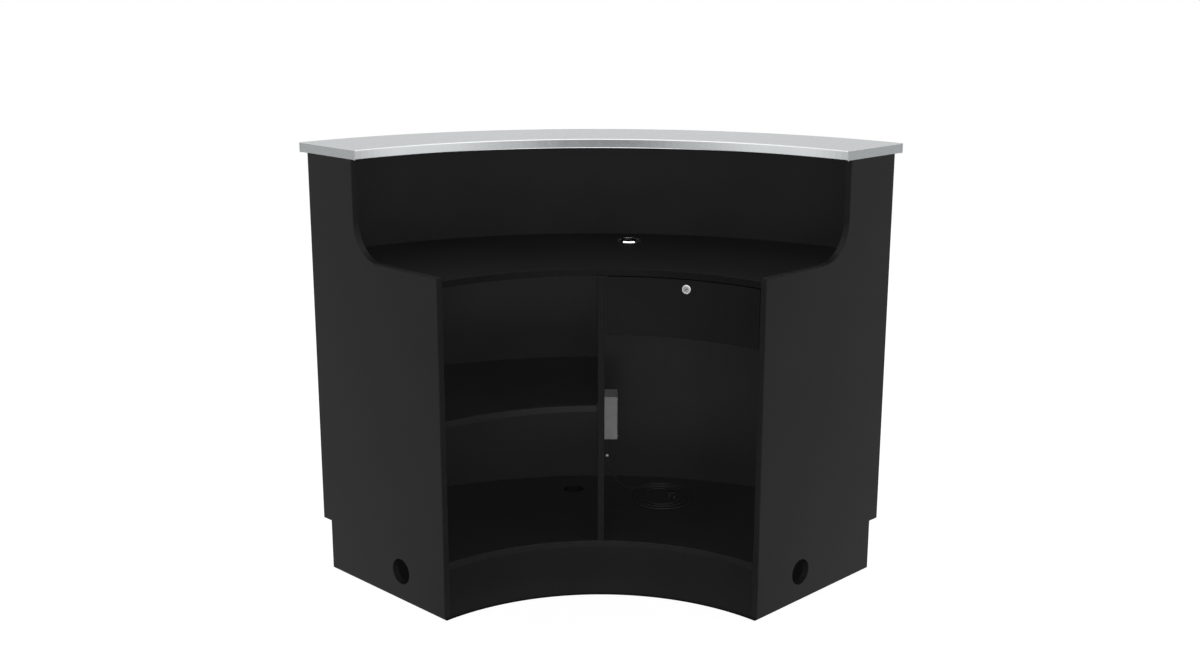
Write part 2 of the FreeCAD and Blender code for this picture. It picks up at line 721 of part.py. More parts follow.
# Lock, turned about its own axis: barrel with flange, plug with keyway, nut, cam, cam screw and keeper.
barrel_body = new_body("lock_barrel")
barrel_sketch = draw(barrel_body, "barrel_section", "XY_Plane", [
    ("plug_bore / 2", "-lock_rim"),
    ("lock_face / 2 - lock_rim / 3", "-lock_rim"),
    ("lock_face / 2", "-lock_rim * 2 / 3"),
    ("lock_face / 2", "0"),
    ("lock_body / 2", "0"),
    ("lock_body / 2", "lock_long"),
    ("plug_bore / 2", "lock_long"),
])
spin(barrel_body, barrel_sketch, "V_Axis")
piece(barrel_body, "lock_barrel", bay_turn, bay_mid, lock_seat, lock_high)

plug_body = new_body("lock_plug")
plug_out = "(plug_bore / 2 - plug_clear)"
plug_face = "(plug_sunk - lock_rim)"
tail_end = "(lock_long + cam_clear + cam_thick)"
plug_sketch = draw(plug_body, "plug_section", "XY_Plane", [
    ("0", plug_face),
    (plug_out, plug_face),
    (plug_out, "lock_long + cam_clear"),
    ("tail / 2", "lock_long + cam_clear"),
    ("tail / 2", tail_end),
    ("0", tail_end),
])
spin(plug_body, plug_sketch, "V_Axis")
doc.recompute()
long_x = "key_long / 2 * cos(key_turn)"
long_z = "key_long / 2 * sin(key_turn)"
wide_x = "key_wide / 2 * sin(key_turn)"
wide_z = "key_wide / 2 * cos(key_turn)"
key_sketch = draw(plug_body, "keyway", "XZ_Plane", [
    ("%s - %s" % (long_x, wide_x), "%s + %s" % (long_z, wide_z)),
    ("-%s - %s" % (long_x, wide_x), "-%s + %s" % (long_z, wide_z)),
    ("-%s + %s" % (long_x, wide_x), "-%s - %s" % (long_z, wide_z)),
    ("%s + %s" % (long_x, wide_x), "%s - %s" % (long_z, wide_z)),
], (), "-" + plug_face)
pocket(plug_body, key_sketch, "key_deep", False)
piece(plug_body, "lock_plug", bay_turn, bay_mid, lock_seat, lock_high)

nut_front = "(%s + fit_gap - %s)" % (rear_radius, lock_seat)
nut_solid = doc.addObject("Part::Prism", "lock_nut_hex")
nut_solid.Polygon = 6
bind(nut_solid, Circumradius="nut_across / sqrt(3)", Height="nut_thick")
nut_solid.Placement = FreeCAD.Placement(FreeCAD.Vector(), FreeCAD.Rotation(FreeCAD.Vector(1, 0, 0), -90))
set_at(nut_solid, "0", nut_front, "0")
nut_bore = rod_along_y("lock_nut_bore", "lock_body / 2 + lock_fit / 2", "0", "0", "0", "lock_long")
piece(cut("lock_nut_cut", nut_solid, nut_bore), "lock_nut", bay_turn, bay_mid, lock_seat, lock_high)

cam_start = "(lock_long + cam_clear)"
cam_neck = "cam_reach - cam_wide / 4"
cam_bar = box("cam_bar", "0", cam_start, "-cam_wide / 2", cam_neck, "cam_thick", "cam_wide")
cam_hub = rod_along_y("cam_hub", "cam_wide / 2", "0", cam_start, "0", "cam_thick")
cam_nose = box(
    "cam_nose", cam_neck, cam_start, "-cam_wide / 4", "cam_wide / 4", "cam_thick", "cam_wide / 2",
)
cam_bore = rod_along_y("cam_bore", "tail / 2 + lock_fit / 2", "0", "0", "0", "2 * lock_long")
cam_solid = cut("lock_cam_cut", fuse("cam_plate", cam_bar, cam_hub, cam_nose), cam_bore)
piece(cam_solid, "lock_cam", bay_turn, bay_mid, lock_seat, lock_high)

screw_solid = rod_along_y("cam_screw_head", "screw_head / 2", "0", "0", "0", "screw_thick")
screw_set = cut("cam_screw_cut", screw_solid, box(
    "cam_screw_slot", "-screw_head", "screw_thick / 2", "-screw_thick / 4",
    "2 * screw_head", "screw_thick", "screw_thick / 2",
))
piece(screw_set, "lock_cam_screw", bay_turn, bay_mid, "%s + %s" % (lock_seat, tail_end), lock_high)

keeper_body = new_body("lock_keeper")
leg_back = "(%s - keeper_clear)" % cam_front
leg_front = "(%s - keeper_sheet)" % leg_back
keeper_sketch = draw(keeper_body, "keeper_section", "YZ_Plane", [
    (leg_front, work_low),
    (leg_front, "%s - keeper_drop" % work_low),
    (leg_back, "%s - keeper_drop" % work_low),
    (leg_back, "%s - keeper_sheet" % work_low),
    ("%s + keeper_foot" % leg_back, "%s - keeper_sheet" % work_low),
    ("%s + keeper_foot" % leg_back, work_low),
], (), "-keeper_wide / 2")
pad(keeper_body, keeper_sketch, "keeper_wide")
piece(keeper_body, "lock_keeper", bay_turn, bay_mid)

# Power supply: a bent tray with both ends, and a bent cover with vent slots between them.
driver_x = "(board / 2)"
driver_top = "(driver_low + driver_tall)"
driver_out = "(board / 2 + driver_wide)"
driver_far = "(driver_y + driver_deep)"
cord_x = "(board / 2 + cord_off)"
cord_y = "(driver_y + driver_deep / 2)"

tray_body = new_body("driver_tray")
tray_sketch = draw(tray_body, "tray_section", "XZ_Plane", [
    (driver_x, "driver_low"),
    (driver_out, "driver_low"),
    (driver_out, "driver_low + driver_sheet"),
    ("%s + driver_sheet" % driver_x, "driver_low + driver_sheet"),
    ("%s + driver_sheet" % driver_x, "%s - driver_sheet" % driver_top),
    (driver_out, "%s - driver_sheet" % driver_top),
    (driver_out, driver_top),
    (driver_x, driver_top),
], (), "-driver_y")
pad(tray_body, tray_sketch, "driver_deep", True)


def tray_corner(edge):
    # Corners of the two ends, where the cover bends round them.
    upright = edge.BoundBox.ZLength > value_of("driver_sheet") / 2 and edge.BoundBox.YLength < 0.01
    return upright and edge.BoundBox.XMin > value_of(driver_out) - 0.01


round_edges(tray_body, "driver_round", tray_corner)
doc.recompute()
cord_way = [(cord_x, cord_y, "cord_bore + 2 * cord_fit")]
exit_sketch = draw(tray_body, "tray_exit", "XY_Plane", [], cord_way, "driver_low")
pocket(tray_body, exit_sketch, "driver_sheet", True)
piece(tray_body, "driver_tray")

cover_body = new_body("driver_cover")
cover_in = "(%s + driver_sheet)" % driver_x
cover_wall = "(%s - driver_sheet)" % driver_out
cover_sketch = draw(cover_body, "cover_section", "XY_Plane", [
    (cover_in, "driver_y"),
    (driver_out, "driver_y"),
    (driver_out, driver_far),
    (cover_in, driver_far),
    (cover_in, "%s - driver_sheet" % driver_far),
    (cover_wall, "%s - driver_sheet" % driver_far),
    (cover_wall, "driver_y + driver_sheet"),
    (cover_in, "driver_y + driver_sheet"),
], (), "driver_low + driver_sheet")
pad(cover_body, cover_sketch, "driver_tall - 2 * driver_sheet")


def bend_at(place):
    # Picks the upright edges of the cover at one distance from the divider.
    def upright(edge):
        long = edge.BoundBox.ZLength > value_of("driver_tall") / 2
        return long and abs(edge.CenterOfMass.x - value_of(place)) < 0.01
    return upright


round_edges(cover_body, "driver_round", bend_at(driver_out))
round_edges(cover_body, "driver_round - driver_sheet", bend_at(cover_wall))
doc.recompute()
vent_mid = "(driver_low + driver_tall / 2)"
vent_sketch = draw(cover_body, "vent_slot", "YZ_Plane", [
    ("%s - vent_step * 2 - vent_wide / 2" % cord_y, "%s - vent_tall / 2" % vent_mid),
    ("%s - vent_step * 2 + vent_wide / 2" % cord_y, "%s - vent_tall / 2" % vent_mid),
    ("%s - vent_step * 2 + vent_wide / 2" % cord_y, "%s + vent_tall / 2" % vent_mid),
    ("%s - vent_step * 2 - vent_wide / 2" % cord_y, "%s + vent_tall / 2" % vent_mid),
], (), driver_out)
vent_cut = pocket(cover_body, vent_sketch, "driver_sheet")
vent_rows = cover_body.newObject("PartDesign::LinearPattern", "vent_rows")
vent_rows.Originals = [vent_cut]
vent_rows.Direction = (vent_sketch, ["H_Axis"])
vent_rows.Occurrences = 5
bind(vent_rows, Length="4 * vent_step")
cover_body.Tip = vent_rows
piece(cover_body, "driver_cover")

gland_body = new_body("cord_gland")
gland_sketch = draw(gland_body, "gland_section", "XZ_Plane", [
    ("cord_bore / 2 + cord_fit", "0"),
    ("gland_bore / 2", "0"),
    ("gland_bore / 2", "-gland_long / 4"),
    ("cord_bore / 2 + cord_fit + gland_wall", "-gland_long"),
    ("cord_bore / 2 + cord_fit", "-gland_long"),
])
spin(gland_body, gland_sketch, "V_Axis")
piece(gland_body, "cord_gland", "0", cord_x, cord_y, "driver_low")

# Cord: a short lead to a white connector, a free stretch down to the base panel, and a loose coil there.
cord_r = value_of("cord_bore / 2")
lead_top = "(driver_low + driver_sheet)"
link_top = "(driver_low - gland_long - lead_long)"
link_low = "(%s - link_tall)" % link_top
lead_high = "%s - %s" % (lead_top, link_top)
lead_solid = post("cord_lead_tube", "cord_bore / 2", link_top, lead_high, cord_x, cord_y)
piece(lead_solid, "cord_lead", "0", cord_x, cord_y, link_top)

link_body = new_body("cord_connector")
link_sketch = draw(link_body, "link_section", "XY_Plane", [
    ("-link_wide / 2", "-link_deep / 2"),
    ("link_wide / 2", "-link_deep / 2"),
    ("link_wide / 2", "link_deep / 2"),
    ("-link_wide / 2", "link_deep / 2"),
])
pad(link_body, link_sketch, "link_tall")
round_edges(link_body, "link_wide / 8", lambda edge: edge.BoundBox.ZLength > value_of("link_tall") / 2)
piece(link_body, "cord_connector", "0", cord_x, cord_y, link_low)


def tube(path_edges, radius):
    # Round tube along tangent edges, from its own starting face.
    wire = Part.Wire(path_edges)
    first = path_edges[0]
    start = first.valueAt(first.FirstParameter)
    along = first.tangentAt(first.FirstParameter)
    ring_wire = Part.Wire([Part.makeCircle(radius, start, along)])
    return wire.makePipeShell([ring_wire], True, False)


def rounded_route(points):
    # Straight runs joined by arcs that are as large as the runs allow.
    edges = []
    radii = []
    last = points[0]
    for before, corner, after in zip(points, points[1:], points[2:]):
        back = before - corner
        ahead = after - corner
        turn = math.pi - back.getAngle(ahead)
        reach = 0.45 * min(back.Length, ahead.Length)
        radii.append(reach / math.tan(turn / 2))
        start = corner + back.normalize() * reach
        end = corner + ahead.normalize() * reach
        bulge = (back + ahead).normalize()
        middle = corner + bulge * (radii[-1] / math.cos(turn / 2) - radii[-1])
        edges.append(Part.LineSegment(last, start).toShape())
        edges.append(Part.Arc(start, middle, end).toShape())
        last = end
    edges.append(Part.LineSegment(last, points[-1]).toShape())
    return edges, radii


lie_z = value_of("base_high + cord_rest") + cord_r
run_start = FreeCAD.Vector(value_of(cord_x), value_of(cord_y), value_of(link_low))
coil_start = FreeCAD.Vector(value_of("coil_side"), value_of("front_radius - coil_back"), lie_z)
land_y = value_of("front_radius - land_back")
drag_y = value_of("front_radius - drag_back")
run_points = [
    run_start,
    run_start + FreeCAD.Vector(0, 0, -value_of("run_plumb")),
    run_start + FreeCAD.Vector(value_of("run_side"), value_of("run_rear"), -value_of("run_fall")),
    FreeCAD.Vector(value_of("land_side"), land_y, lie_z + value_of("land_rise")),
    FreeCAD.Vector(value_of("drag_side"), drag_y, lie_z),
    FreeCAD.Vector(value_of("coil_lead"), coil_start.y, lie_z),
    coil_start,
]
run_edges, run_radii = rounded_route(run_points)
print("cord stretch radii", [round(radius, 1) for radius in run_radii])

# The coil lies flat and winds inwards. Each row is one loop, in parts of the first quarter turn: the radii
# of its four quarter turns, then the straights down its right side and up its left side.
coil_turn = value_of("coil_turn")
coil_loops = [
    ((1.00, 1.03, 1.01, 0.92), (0.47, 0.42)),
    ((0.87, 0.86, 0.76, 0.75), (0.39, 0.45)),
    ((0.69, 0.75, 0.53, 0.61), (0.31, 0.42)),
]
tail_turn = 0.36
tail_straight = 0.14


class Pen:
    # Draws tangent lines and right-hand quarter turns in the plane of the coil.
    def __init__(self, start, heading):
        self.at = start
        self.heading = heading
        self.edges = []

    def right(self):
        return FreeCAD.Vector(self.heading.y, -self.heading.x, 0)

    def straight(self, long):
        end = self.at + self.heading * long
        self.edges.append(Part.LineSegment(self.at, end).toShape())
        self.at = end

    def quarter(self, radius):
        side = self.right()
        middle = self.at + side * radius
        halfway = middle + (self.heading - side) * (radius / math.sqrt(2))
        end = middle + self.heading * radius
        self.edges.append(Part.Arc(self.at, halfway, end).toShape())
        self.at = end
        self.heading = side


pen = Pen(coil_start, FreeCAD.Vector(1, 0, 0))
pen.straight(2 * cord_r)
for turns, straights in coil_loops:
    pen.quarter(turns[0] * coil_turn)
    pen.straight(straights[0] * coil_turn)
    pen.quarter(turns[1] * coil_turn)
    pen.quarter(turns[2] * coil_turn)
    pen.straight(straights[1] * coil_turn)
    pen.quarter(turns[3] * coil_turn)
pen.quarter(tail_turn * coil_turn)
pen.straight(tail_straight * coil_turn)


def least_gap(edges, diameter, step=4.0):
    # Least clear distance of a tube to itself, leaving out the neighbourhood along its own path.
    points = []
    travelled = 0.0
    for edge in edges:
        count = max(2, int(edge.Length / step))
        for i in range(count):
            spot = edge.getParameterByLength(edge.Length * i / count)
            points.append((travelled + edge.Length * i / count, edge.valueAt(spot)))
        travelled += edge.Length
    least = 1e9
    for i, (way_a, a) in enumerate(points):
        for way_b, b in points[i + 1:]:
            if way_b - way_a > 12 * diameter:
                least = min(least, a.distanceToPoint(b))
    return least - diameter, travelled


coil_gap, coil_length = least_gap(pen.edges, 2 * cord_r)
print("coil: least gap to itself %.2f mm, length %.0f mm" % (coil_gap, coil_length))
if coil_gap < 0.4:
    raise RuntimeError("the coil touches itself")

for label, edges in (("cord_run", run_edges), ("cord_coil", pen.edges)):
    solid = tube(edges, cord_r)
    length = sum(edge.Length for edge in edges)
    ratio = solid.Volume / (math.pi * cord_r ** 2 * length)
    print("%s: length %.0f mm, volume ratio %.4f" % (label, length, ratio))
    cord_piece = doc.addObject("Part::Feature", label)
    cord_piece.Shape = solid
    piece(cord_piece, label)

# Mains plug at the inner end of the coil, lying on the base panel.
plug_end = pen.at
plug_turn = math.degrees(math.atan2(pen.heading.x, pen.heading.y))
plug_low = value_of("base_high + cord_rest") - plug_end.z
mains_body = new_body("cord_plug")
mains_sketch = draw(mains_body, "mains_outline", "XY_Plane", [
    ("-cord_bore / 2 - gland_wall", "0"),
    ("cord_bore / 2 + gland_wall", "0"),
    ("cord_bore / 2 + gland_wall", "plug_long / 3"),
    ("plug_wide / 2", "plug_long / 2"),
    ("plug_wide / 2", "plug_long"),
    ("-plug_wide / 2", "plug_long"),
    ("-plug_wide / 2", "plug_long / 2"),
    ("-cord_bore / 2 - gland_wall", "plug_long / 3"),
])
pad(mains_body, mains_sketch, "plug_tall")
piece(mains_body, "cord_plug", str(plug_turn), "0", "0", "base_high + cord_rest")
blade_pair = [
    box(
        "blade_%d" % side,
        "%d * blade_step / 2 - blade_thick / 2" % side, "plug_long", "plug_tall / 2 - blade_wide / 2",
        "blade_thick", "blade_long", "blade_wide",
    )
    for side in (-1, 1)
]
blades = group("blade_set", blade_pair)
piece(blades, "plug_blades", str(plug_turn), "0", "0", "base_high + cord_rest")
for feature in (mains_body, blades):
    set_at(feature, str(plug_end.x), "%s + %s" % (plug_end.y, arc_y), "base_high + cord_rest")

doc.recompute()
faults = [item.Label for item in doc.Objects if "Invalid" in item.State or "Error" in item.State]
faults += [item.Label for item in pieces if item.Shape.isNull() or not item.Shape.isValid()]
if faults:
    raise RuntimeError("failed: " + ", ".join(faults))

os.makedirs("parts", exist_ok=True)
for item in pieces:
    item.Shape.exportStep("parts/%s.step" % item.Label)
    extent = item.Shape.BoundBox
    print("%-20s %d solid(s), %.1f x %.1f x %.1f mm" % (
        item.Label, len(item.Shape.Solids), extent.XLength, extent.YLength, extent.ZLength,
    ))
print(len(pieces), "pieces")
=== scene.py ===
import json
import math

import bmesh
import bpy
from mathutils import Matrix, Vector


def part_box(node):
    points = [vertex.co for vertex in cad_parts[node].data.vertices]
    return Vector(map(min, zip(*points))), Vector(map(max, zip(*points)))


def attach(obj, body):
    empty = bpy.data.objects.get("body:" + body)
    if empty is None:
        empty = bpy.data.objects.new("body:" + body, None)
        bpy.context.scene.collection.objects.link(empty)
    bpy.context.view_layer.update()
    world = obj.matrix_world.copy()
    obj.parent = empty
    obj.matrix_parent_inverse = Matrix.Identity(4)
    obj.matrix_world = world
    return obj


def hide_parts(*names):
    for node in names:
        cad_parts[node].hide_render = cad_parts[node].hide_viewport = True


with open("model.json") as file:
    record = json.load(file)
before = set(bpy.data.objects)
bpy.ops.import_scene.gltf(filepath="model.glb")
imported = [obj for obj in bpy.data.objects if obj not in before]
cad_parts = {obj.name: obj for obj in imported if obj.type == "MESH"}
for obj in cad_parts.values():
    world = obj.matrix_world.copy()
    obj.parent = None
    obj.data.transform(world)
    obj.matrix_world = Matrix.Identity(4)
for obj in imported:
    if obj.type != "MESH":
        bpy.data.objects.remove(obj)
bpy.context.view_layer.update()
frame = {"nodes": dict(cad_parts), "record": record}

nodes = frame["nodes"]
scene = bpy.context.scene
scene.view_settings.view_transform = "Standard"
print("frame loaded:", len(nodes), "pieces of the desk")

# camera where the photograph was taken, a little above the counter
cameraSet = {
    "place": (-0.012266, -3.333055, 1.410770),
    "pitch": 14.1487,  # degrees down
    "yaw": 0.17314,  # degrees to the right
    "roll": 0.11041,
    "lens": 44.528,
    "sensor": 36.0,
    "sight": 100.0,  # how far it sees
}


def makeCamera():
    data = bpy.data.cameras.new("view")
    data.sensor_fit = "HORIZONTAL"
    data.sensor_width = cameraSet["sensor"]
    data.lens = cameraSet["lens"]
    data.clip_end = cameraSet["sight"]
    camera = bpy.data.objects.new("view", data)
    turn = Matrix.Rotation(math.radians(-cameraSet["yaw"]), 4, "Z")
    tilt = Matrix.Rotation(math.radians(90 - cameraSet["pitch"]), 4, "X")
    roll = Matrix.Rotation(math.radians(cameraSet["roll"]), 4, "Z")
    camera.matrix_world = Matrix.Translation(cameraSet["place"]) @ turn @ tilt @ roll
    scene.collection.objects.link(camera)
    scene.camera = camera


makeCamera()
print("camera set")


# a socket that takes part in Python sums, and makes any other node
class Wire:
    def __init__(self, tree, socket=None):
        self.tree = tree
        self.socket = socket

    def feed(self, target, value):
        if isinstance(value, Wire):
            self.tree.links.new(value.socket, target)
        else:
            target.default_value = value

    def sums(self, operation, first, second):
        return self.node("ShaderNodeMath", {"operation": operation}, {0: first, 1: second})

    def node(self, kind, settings=None, inputs=None, output=0):
        made = self.tree.nodes.new(kind)
        for name, value in (settings or {}).items():
            if name == "stops":
                stops = made.color_ramp.elements
                while len(stops) < len(value):
                    stops.new(1.0)
                for stop, (at, tone) in zip(stops, value):
                    stop.position = at
                    stop.color = (tone, tone, tone, 1)
            else:
                setattr(made, name, value)
        for name, value in (inputs or {}).items():
            self.feed(made.inputs[name], value)
        return Wire(self.tree, made.outputs[output] if made.outputs else None)

    def __add__(self, other):
        return self.sums("ADD", self, other)

    def __radd__(self, other):
        return self.sums("ADD", other, self)

    def __sub__(self, other):
        return self.sums("SUBTRACT", self, other)

    def __rsub__(self, other):
        return self.sums("SUBTRACT", other, self)

    def __mul__(self, other):
        return self.sums("MULTIPLY", self, other)

    def __rmul__(self, other):
        return self.sums("MULTIPLY", other, self)


def newFinish(name):
    material = bpy.data.materials.new(name)
    material.use_nodes = True
    material.node_tree.nodes.clear()
    tree = Wire(material.node_tree)
    return material, tree


def place(tree, scale=(1, 1, 1), turn=(0, 0, 0)):
    spot = tree.node("ShaderNodeTexCoord", output="Object")
    return tree.node("ShaderNodeMapping", {}, {"Vector": spot, "Scale": scale, "Rotation": turn})


def cloud(tree, spot, scale, detail=3.0, rough=0.5):
    sockets = {"Vector": spot, "Scale": scale, "Detail": detail, "Roughness": rough}
    return tree.node("ShaderNodeTexNoise", {}, sockets, "Fac")


def between(tree, value, low, high, toLow=0.0, toHigh=1.0):
    sockets = {"Value": value, "From Min": low, "From Max": high, "To Min": toLow, "To Max": toHigh}
    return tree.node("ShaderNodeMapRange", {"clamp": True}, sockets)


def tint(tree, amount, dark, light):
    sockets = {"Factor": amount, 6: (*dark, 1), 7: (*light, 1)}
    return tree.node("ShaderNodeMix", {"data_type": "RGBA"}, sockets, 2)


def bumped(tree, height, strength, distance=0.0002):
    sockets = {"Height": height, "Strength": strength, "Distance": distance}
    return tree.node("ShaderNodeBump", {}, sockets)


def surface(tree, sockets):
    shader = tree.node("ShaderNodeBsdfPrincipled", {}, sockets)
    tree.node("ShaderNodeOutputMaterial", {}, {"Surface": shader})


# satin black melamine: a fine pressed pebble, soft mottling, and faint scuffs low down
blackBoard = {
    "dark": (0.0087, 0.0087, 0.0087),
    "light": (0.0113, 0.0113, 0.0113),
    "scuff": (0.030, 0.030, 0.030),
    "scuffHigh": 0.10,
    "scuffFrom": (0.66, 0.80),  # levels of the streaks that show
    "scuffShow": 0.35,
    "scuffRough": 0.12,
    "streaks": (30.0, 30.0, 260.0),
    "pebble": 700.0,
    "pores": 420.0,
    "poresLong": 0.06,  # scale along their length
    "mottle": 5.0,
    "wipes": 2.2,
    "relief": 0.10,
    "roughness": (0.28, 0.36),
    "specular": 0.13,
    # boards of the same melamine given their own tone against the end panels' as painted light and shade
    # (lighter shelf and base, darker work surface and front panel), gloss, more roughness
    "boards": {
        "front_panel": (0.96, 0.085, 0.0),
        "work_surface": (0.91, 0.010, 0.30),
        "drawer_front": (0.98, 0.012, 0.0),
        "kick_board": (1.00, 0.050, 0.0),
        "mid_shelf": (1.24, 0.130, 0.0),
        "base_panel": (1.24, 0.130, 0.0),
    },
}


def makeBlackBoard(name, tone=1.0, gloss=blackBoard["specular"], matt=0.0):
    material, tree = newFinish(name)
    # a tone other than 1 lightens or darkens the melamine's colour: painted light or shade
    dark, light = ([level * tone for level in blackBoard[side]] for side in ("dark", "light"))
    spot = place(tree)
    pebble = cloud(tree, spot, blackBoard["pebble"], 2.0, 0.6)
    pores = cloud(tree, place(tree, (1.0, 1.0, blackBoard["poresLong"])), blackBoard["pores"], 2.0)
    mottle = cloud(tree, spot, blackBoard["mottle"], 4.0)
    wipes = cloud(tree, place(tree, (1.0, 1.0, 3.0), (0.3, 0.2, 0.4)), blackBoard["wipes"], 5.0, 0.62)
    high = tree.node("ShaderNodeSeparateXYZ", {}, {0: tree.node("ShaderNodeTexCoord", output="Object")}, "Z")
    low = between(tree, high, 0.0, blackBoard["scuffHigh"], 1.0, 0.0)
    streaks = cloud(tree, place(tree, blackBoard["streaks"]), 1.0, 3.0, 0.7)
    scuffs = between(tree, streaks, *blackBoard["scuffFrom"]) * low
    base = tint(tree, between(tree, mottle * 0.7 + pores * 0.3, 0.3, 0.7), dark, light)
    worn = tree.node("ShaderNodeMix", {"data_type": "RGBA"},
                     {"Factor": scuffs * blackBoard["scuffShow"], 6: base, 7: (*blackBoard["scuff"], 1)}, 2)
    wiped = between(tree, wipes * 0.75 + pebble * 0.25, 0.3, 0.7, *blackBoard["roughness"])
    surface(tree, {
        "Base Color": worn,
        "Roughness": wiped + scuffs * blackBoard["scuffRough"] + matt,
        "Specular IOR Level": gloss,
        "Normal": bumped(tree, pebble * 0.7 + pores * 0.3, blackBoard["relief"]),
    })
    return material


# brushed silver laminate: fine lines along the counter over a soft cloud
silverBoard = {
    "dark": (0.463, 0.484, 0.492),
    "light": (0.506, 0.528, 0.536),
    "metallic": 0.85,
    "roughness": (0.24, 0.31),
    "lines": (3.0, 620.0, 620.0),
    "speck": 900.0,
    "haze": 3.0,
    "relief": (0.05, 0.0001),  # strength and depth
}


def makeSilverBoard():
    material, tree = newFinish("silver_laminate")
    lines = cloud(tree, place(tree, silverBoard["lines"]), 1.0, 3.0, 0.65)
    speck = cloud(tree, place(tree), silverBoard["speck"], 2.0, 0.7)
    haze = cloud(tree, place(tree), silverBoard["haze"], 4.0)
    tone = between(tree, lines * 0.55 + speck * 0.25 + haze * 0.2, 0.34, 0.66)
    rough = between(tree, lines * 0.6 + haze * 0.4, 0.35, 0.65, *silverBoard["roughness"])
    surface(tree, {
        "Base Color": tint(tree, tone, silverBoard["dark"], silverBoard["light"]),
        "Roughness": rough,
        "Metallic": silverBoard["metallic"],
        "Normal": bumped(tree, lines * 0.7 + speck * 0.3, *silverBoard["relief"]),
    })
    return material


# metals: tone range, roughness range, size of the clouding, stretch of the working lines
metals = {
    "zinc_steel": {
        "dark": (0.42, 0.43, 0.45), "light": (0.60, 0.61, 0.63), "roughness": (0.26, 0.42),
        "cloud": 70.0, "lines": (40.0, 40.0, 900.0), "relief": 0.06,
    },
    "bright_chrome": {
        "dark": (0.74, 0.74, 0.75), "light": (0.86, 0.86, 0.87), "roughness": (0.07, 0.18),
        "cloud": 160.0, "lines": (900.0, 900.0, 900.0), "relief": 0.03,
    },
    "supply_sheet": {
        "dark": (0.109, 0.109, 0.112), "light": (0.142, 0.142, 0.145), "roughness": (0.36, 0.50),
        "cloud": 40.0, "lines": (60.0, 60.0, 1400.0), "relief": 0.08, "metallic": 0.10, "specular": 0.15,
    },
    "counter_strip": {
        "dark": (0.547, 0.567, 0.574), "light": (0.586, 0.607, 0.614), "roughness": (0.15, 0.21),
        "cloud": 30.0, "lines": (4.0, 4.0, 1500.0), "relief": 0.02,
    },
    "lock_nickel": {
        "dark": (0.58, 0.58, 0.59), "light": (0.82, 0.82, 0.83), "roughness": (0.20, 0.34),
        "cloud": 420.0, "lines": (900.0, 900.0, 900.0), "relief": 0.04, "metallic": 0.60,
    },
    # the lock plug's face: a darker copy of the lock's nickel, painted shade in the middle of the lock
    "plug_face_shaded": {
        "dark": (0.24, 0.24, 0.25), "light": (0.56, 0.56, 0.57), "roughness": (0.22, 0.38),
        "cloud": 520.0, "lines": (900.0, 900.0, 900.0), "relief": 0.05, "metallic": 0.70,
    },
    "plug_nickel": {
        "dark": (0.52, 0.52, 0.53), "light": (0.67, 0.67, 0.68), "roughness": (0.20, 0.36),
        "cloud": 220.0, "lines": (900.0, 120.0, 900.0), "relief": 0.05,
    },
}


def makeMetal(name):
    look = metals[name]
    material, tree = newFinish(name)
    patches = cloud(tree, place(tree), look["cloud"], 4.0, 0.55)
    lines = cloud(tree, place(tree, look["lines"]), 1.0, 2.0, 0.6)
    mixed = between(tree, patches * 0.6 + lines * 0.4, 0.3, 0.7)
    surface(tree, {
        "Base Color": tint(tree, mixed, look["dark"], look["light"]),
        "Roughness": between(tree, lines * 0.5 + patches * 0.5, 0.3, 0.7, *look["roughness"]),
        "Metallic": look.get("metallic", 1.0),
        "Specular IOR Level": look.get("specular", 0.5),
        "Normal": bumped(tree, lines, look["relief"]),
    })
    return material


# moulded plastics: spark-eroded grain with a little tonal drift
driftScale = 60.0
plastics = {
    # darker than black moulding is: painted shade, so the lit face of the plug stays dark
    "moulded_black_shaded": {"dark": (0.004, 0.004, 0.004), "light": (0.006, 0.006, 0.0062),
                      "roughness": (0.46, 0.60), "grain": 1600.0, "relief": 0.20, "specular": 0.15},
    "cord_sheath": {"dark": (0.0106, 0.0106, 0.0109), "light": (0.0154, 0.0154, 0.0158),
                    "roughness": (0.40, 0.52), "grain": 900.0, "relief": 0.12, "specular": 0.14},
    # a white moulding held at mid grey: painted shade
    "moulded_white_shaded_grey": {"dark": (0.22, 0.22, 0.215), "light": (0.30, 0.30, 0.295),
                      "roughness": (0.40, 0.52), "grain": 1400.0, "relief": 0.08, "specular": 0.30},
    "edge_black": {"dark": (0.0100, 0.0100, 0.0104), "light": (0.0130, 0.0130, 0.0134),
                   "roughness": (0.30, 0.40), "grain": 1200.0, "relief": 0.04, "specular": 0.07},
    # the divider's edge band: a darker copy of the edge band, painted shade
    "divider_edge_shaded_black": {"dark": (0.0085, 0.0085, 0.0088), "light": (0.0110, 0.0110, 0.0114),
                           "roughness": (0.34, 0.44), "grain": 1200.0, "relief": 0.04, "specular": 0.02},
    # the work surface's edge band: a darker copy of the edge band, painted shade
    "work_edge_shaded_black": {"dark": (0.0052, 0.0052, 0.0054), "light": (0.0069, 0.0069, 0.0071),
                        "roughness": (0.32, 0.42), "grain": 1200.0, "relief": 0.04, "specular": 0.04},
    # near black, darker than the melamine: painted shade for hole walls, hidden faces, gaps and the keyway
    "painted_shade_black": {"dark": (0.0034, 0.0034, 0.0034), "light": (0.0050, 0.0049, 0.0048),
                 "roughness": (0.75, 0.92), "grain": 800.0, "relief": 0.35, "specular": 0.05},
}


def makePlastic(name):
    look = plastics[name]
    material, tree = newFinish(name)
    grain = cloud(tree, place(tree), look["grain"], 2.0, 0.6)
    drift = cloud(tree, place(tree), driftScale, 3.0)
    mixed = between(tree, drift * 0.7 + grain * 0.3, 0.3, 0.7)
    surface(tree, {
        "Base Color": tint(tree, mixed, look["dark"], look["light"]),
        "Roughness": between(tree, grain * 0.5 + drift * 0.5, 0.3, 0.7, *look["roughness"]),
        "Specular IOR Level": look["specular"],
        "Normal": bumped(tree, grain, look["relief"]),
    })
    return material


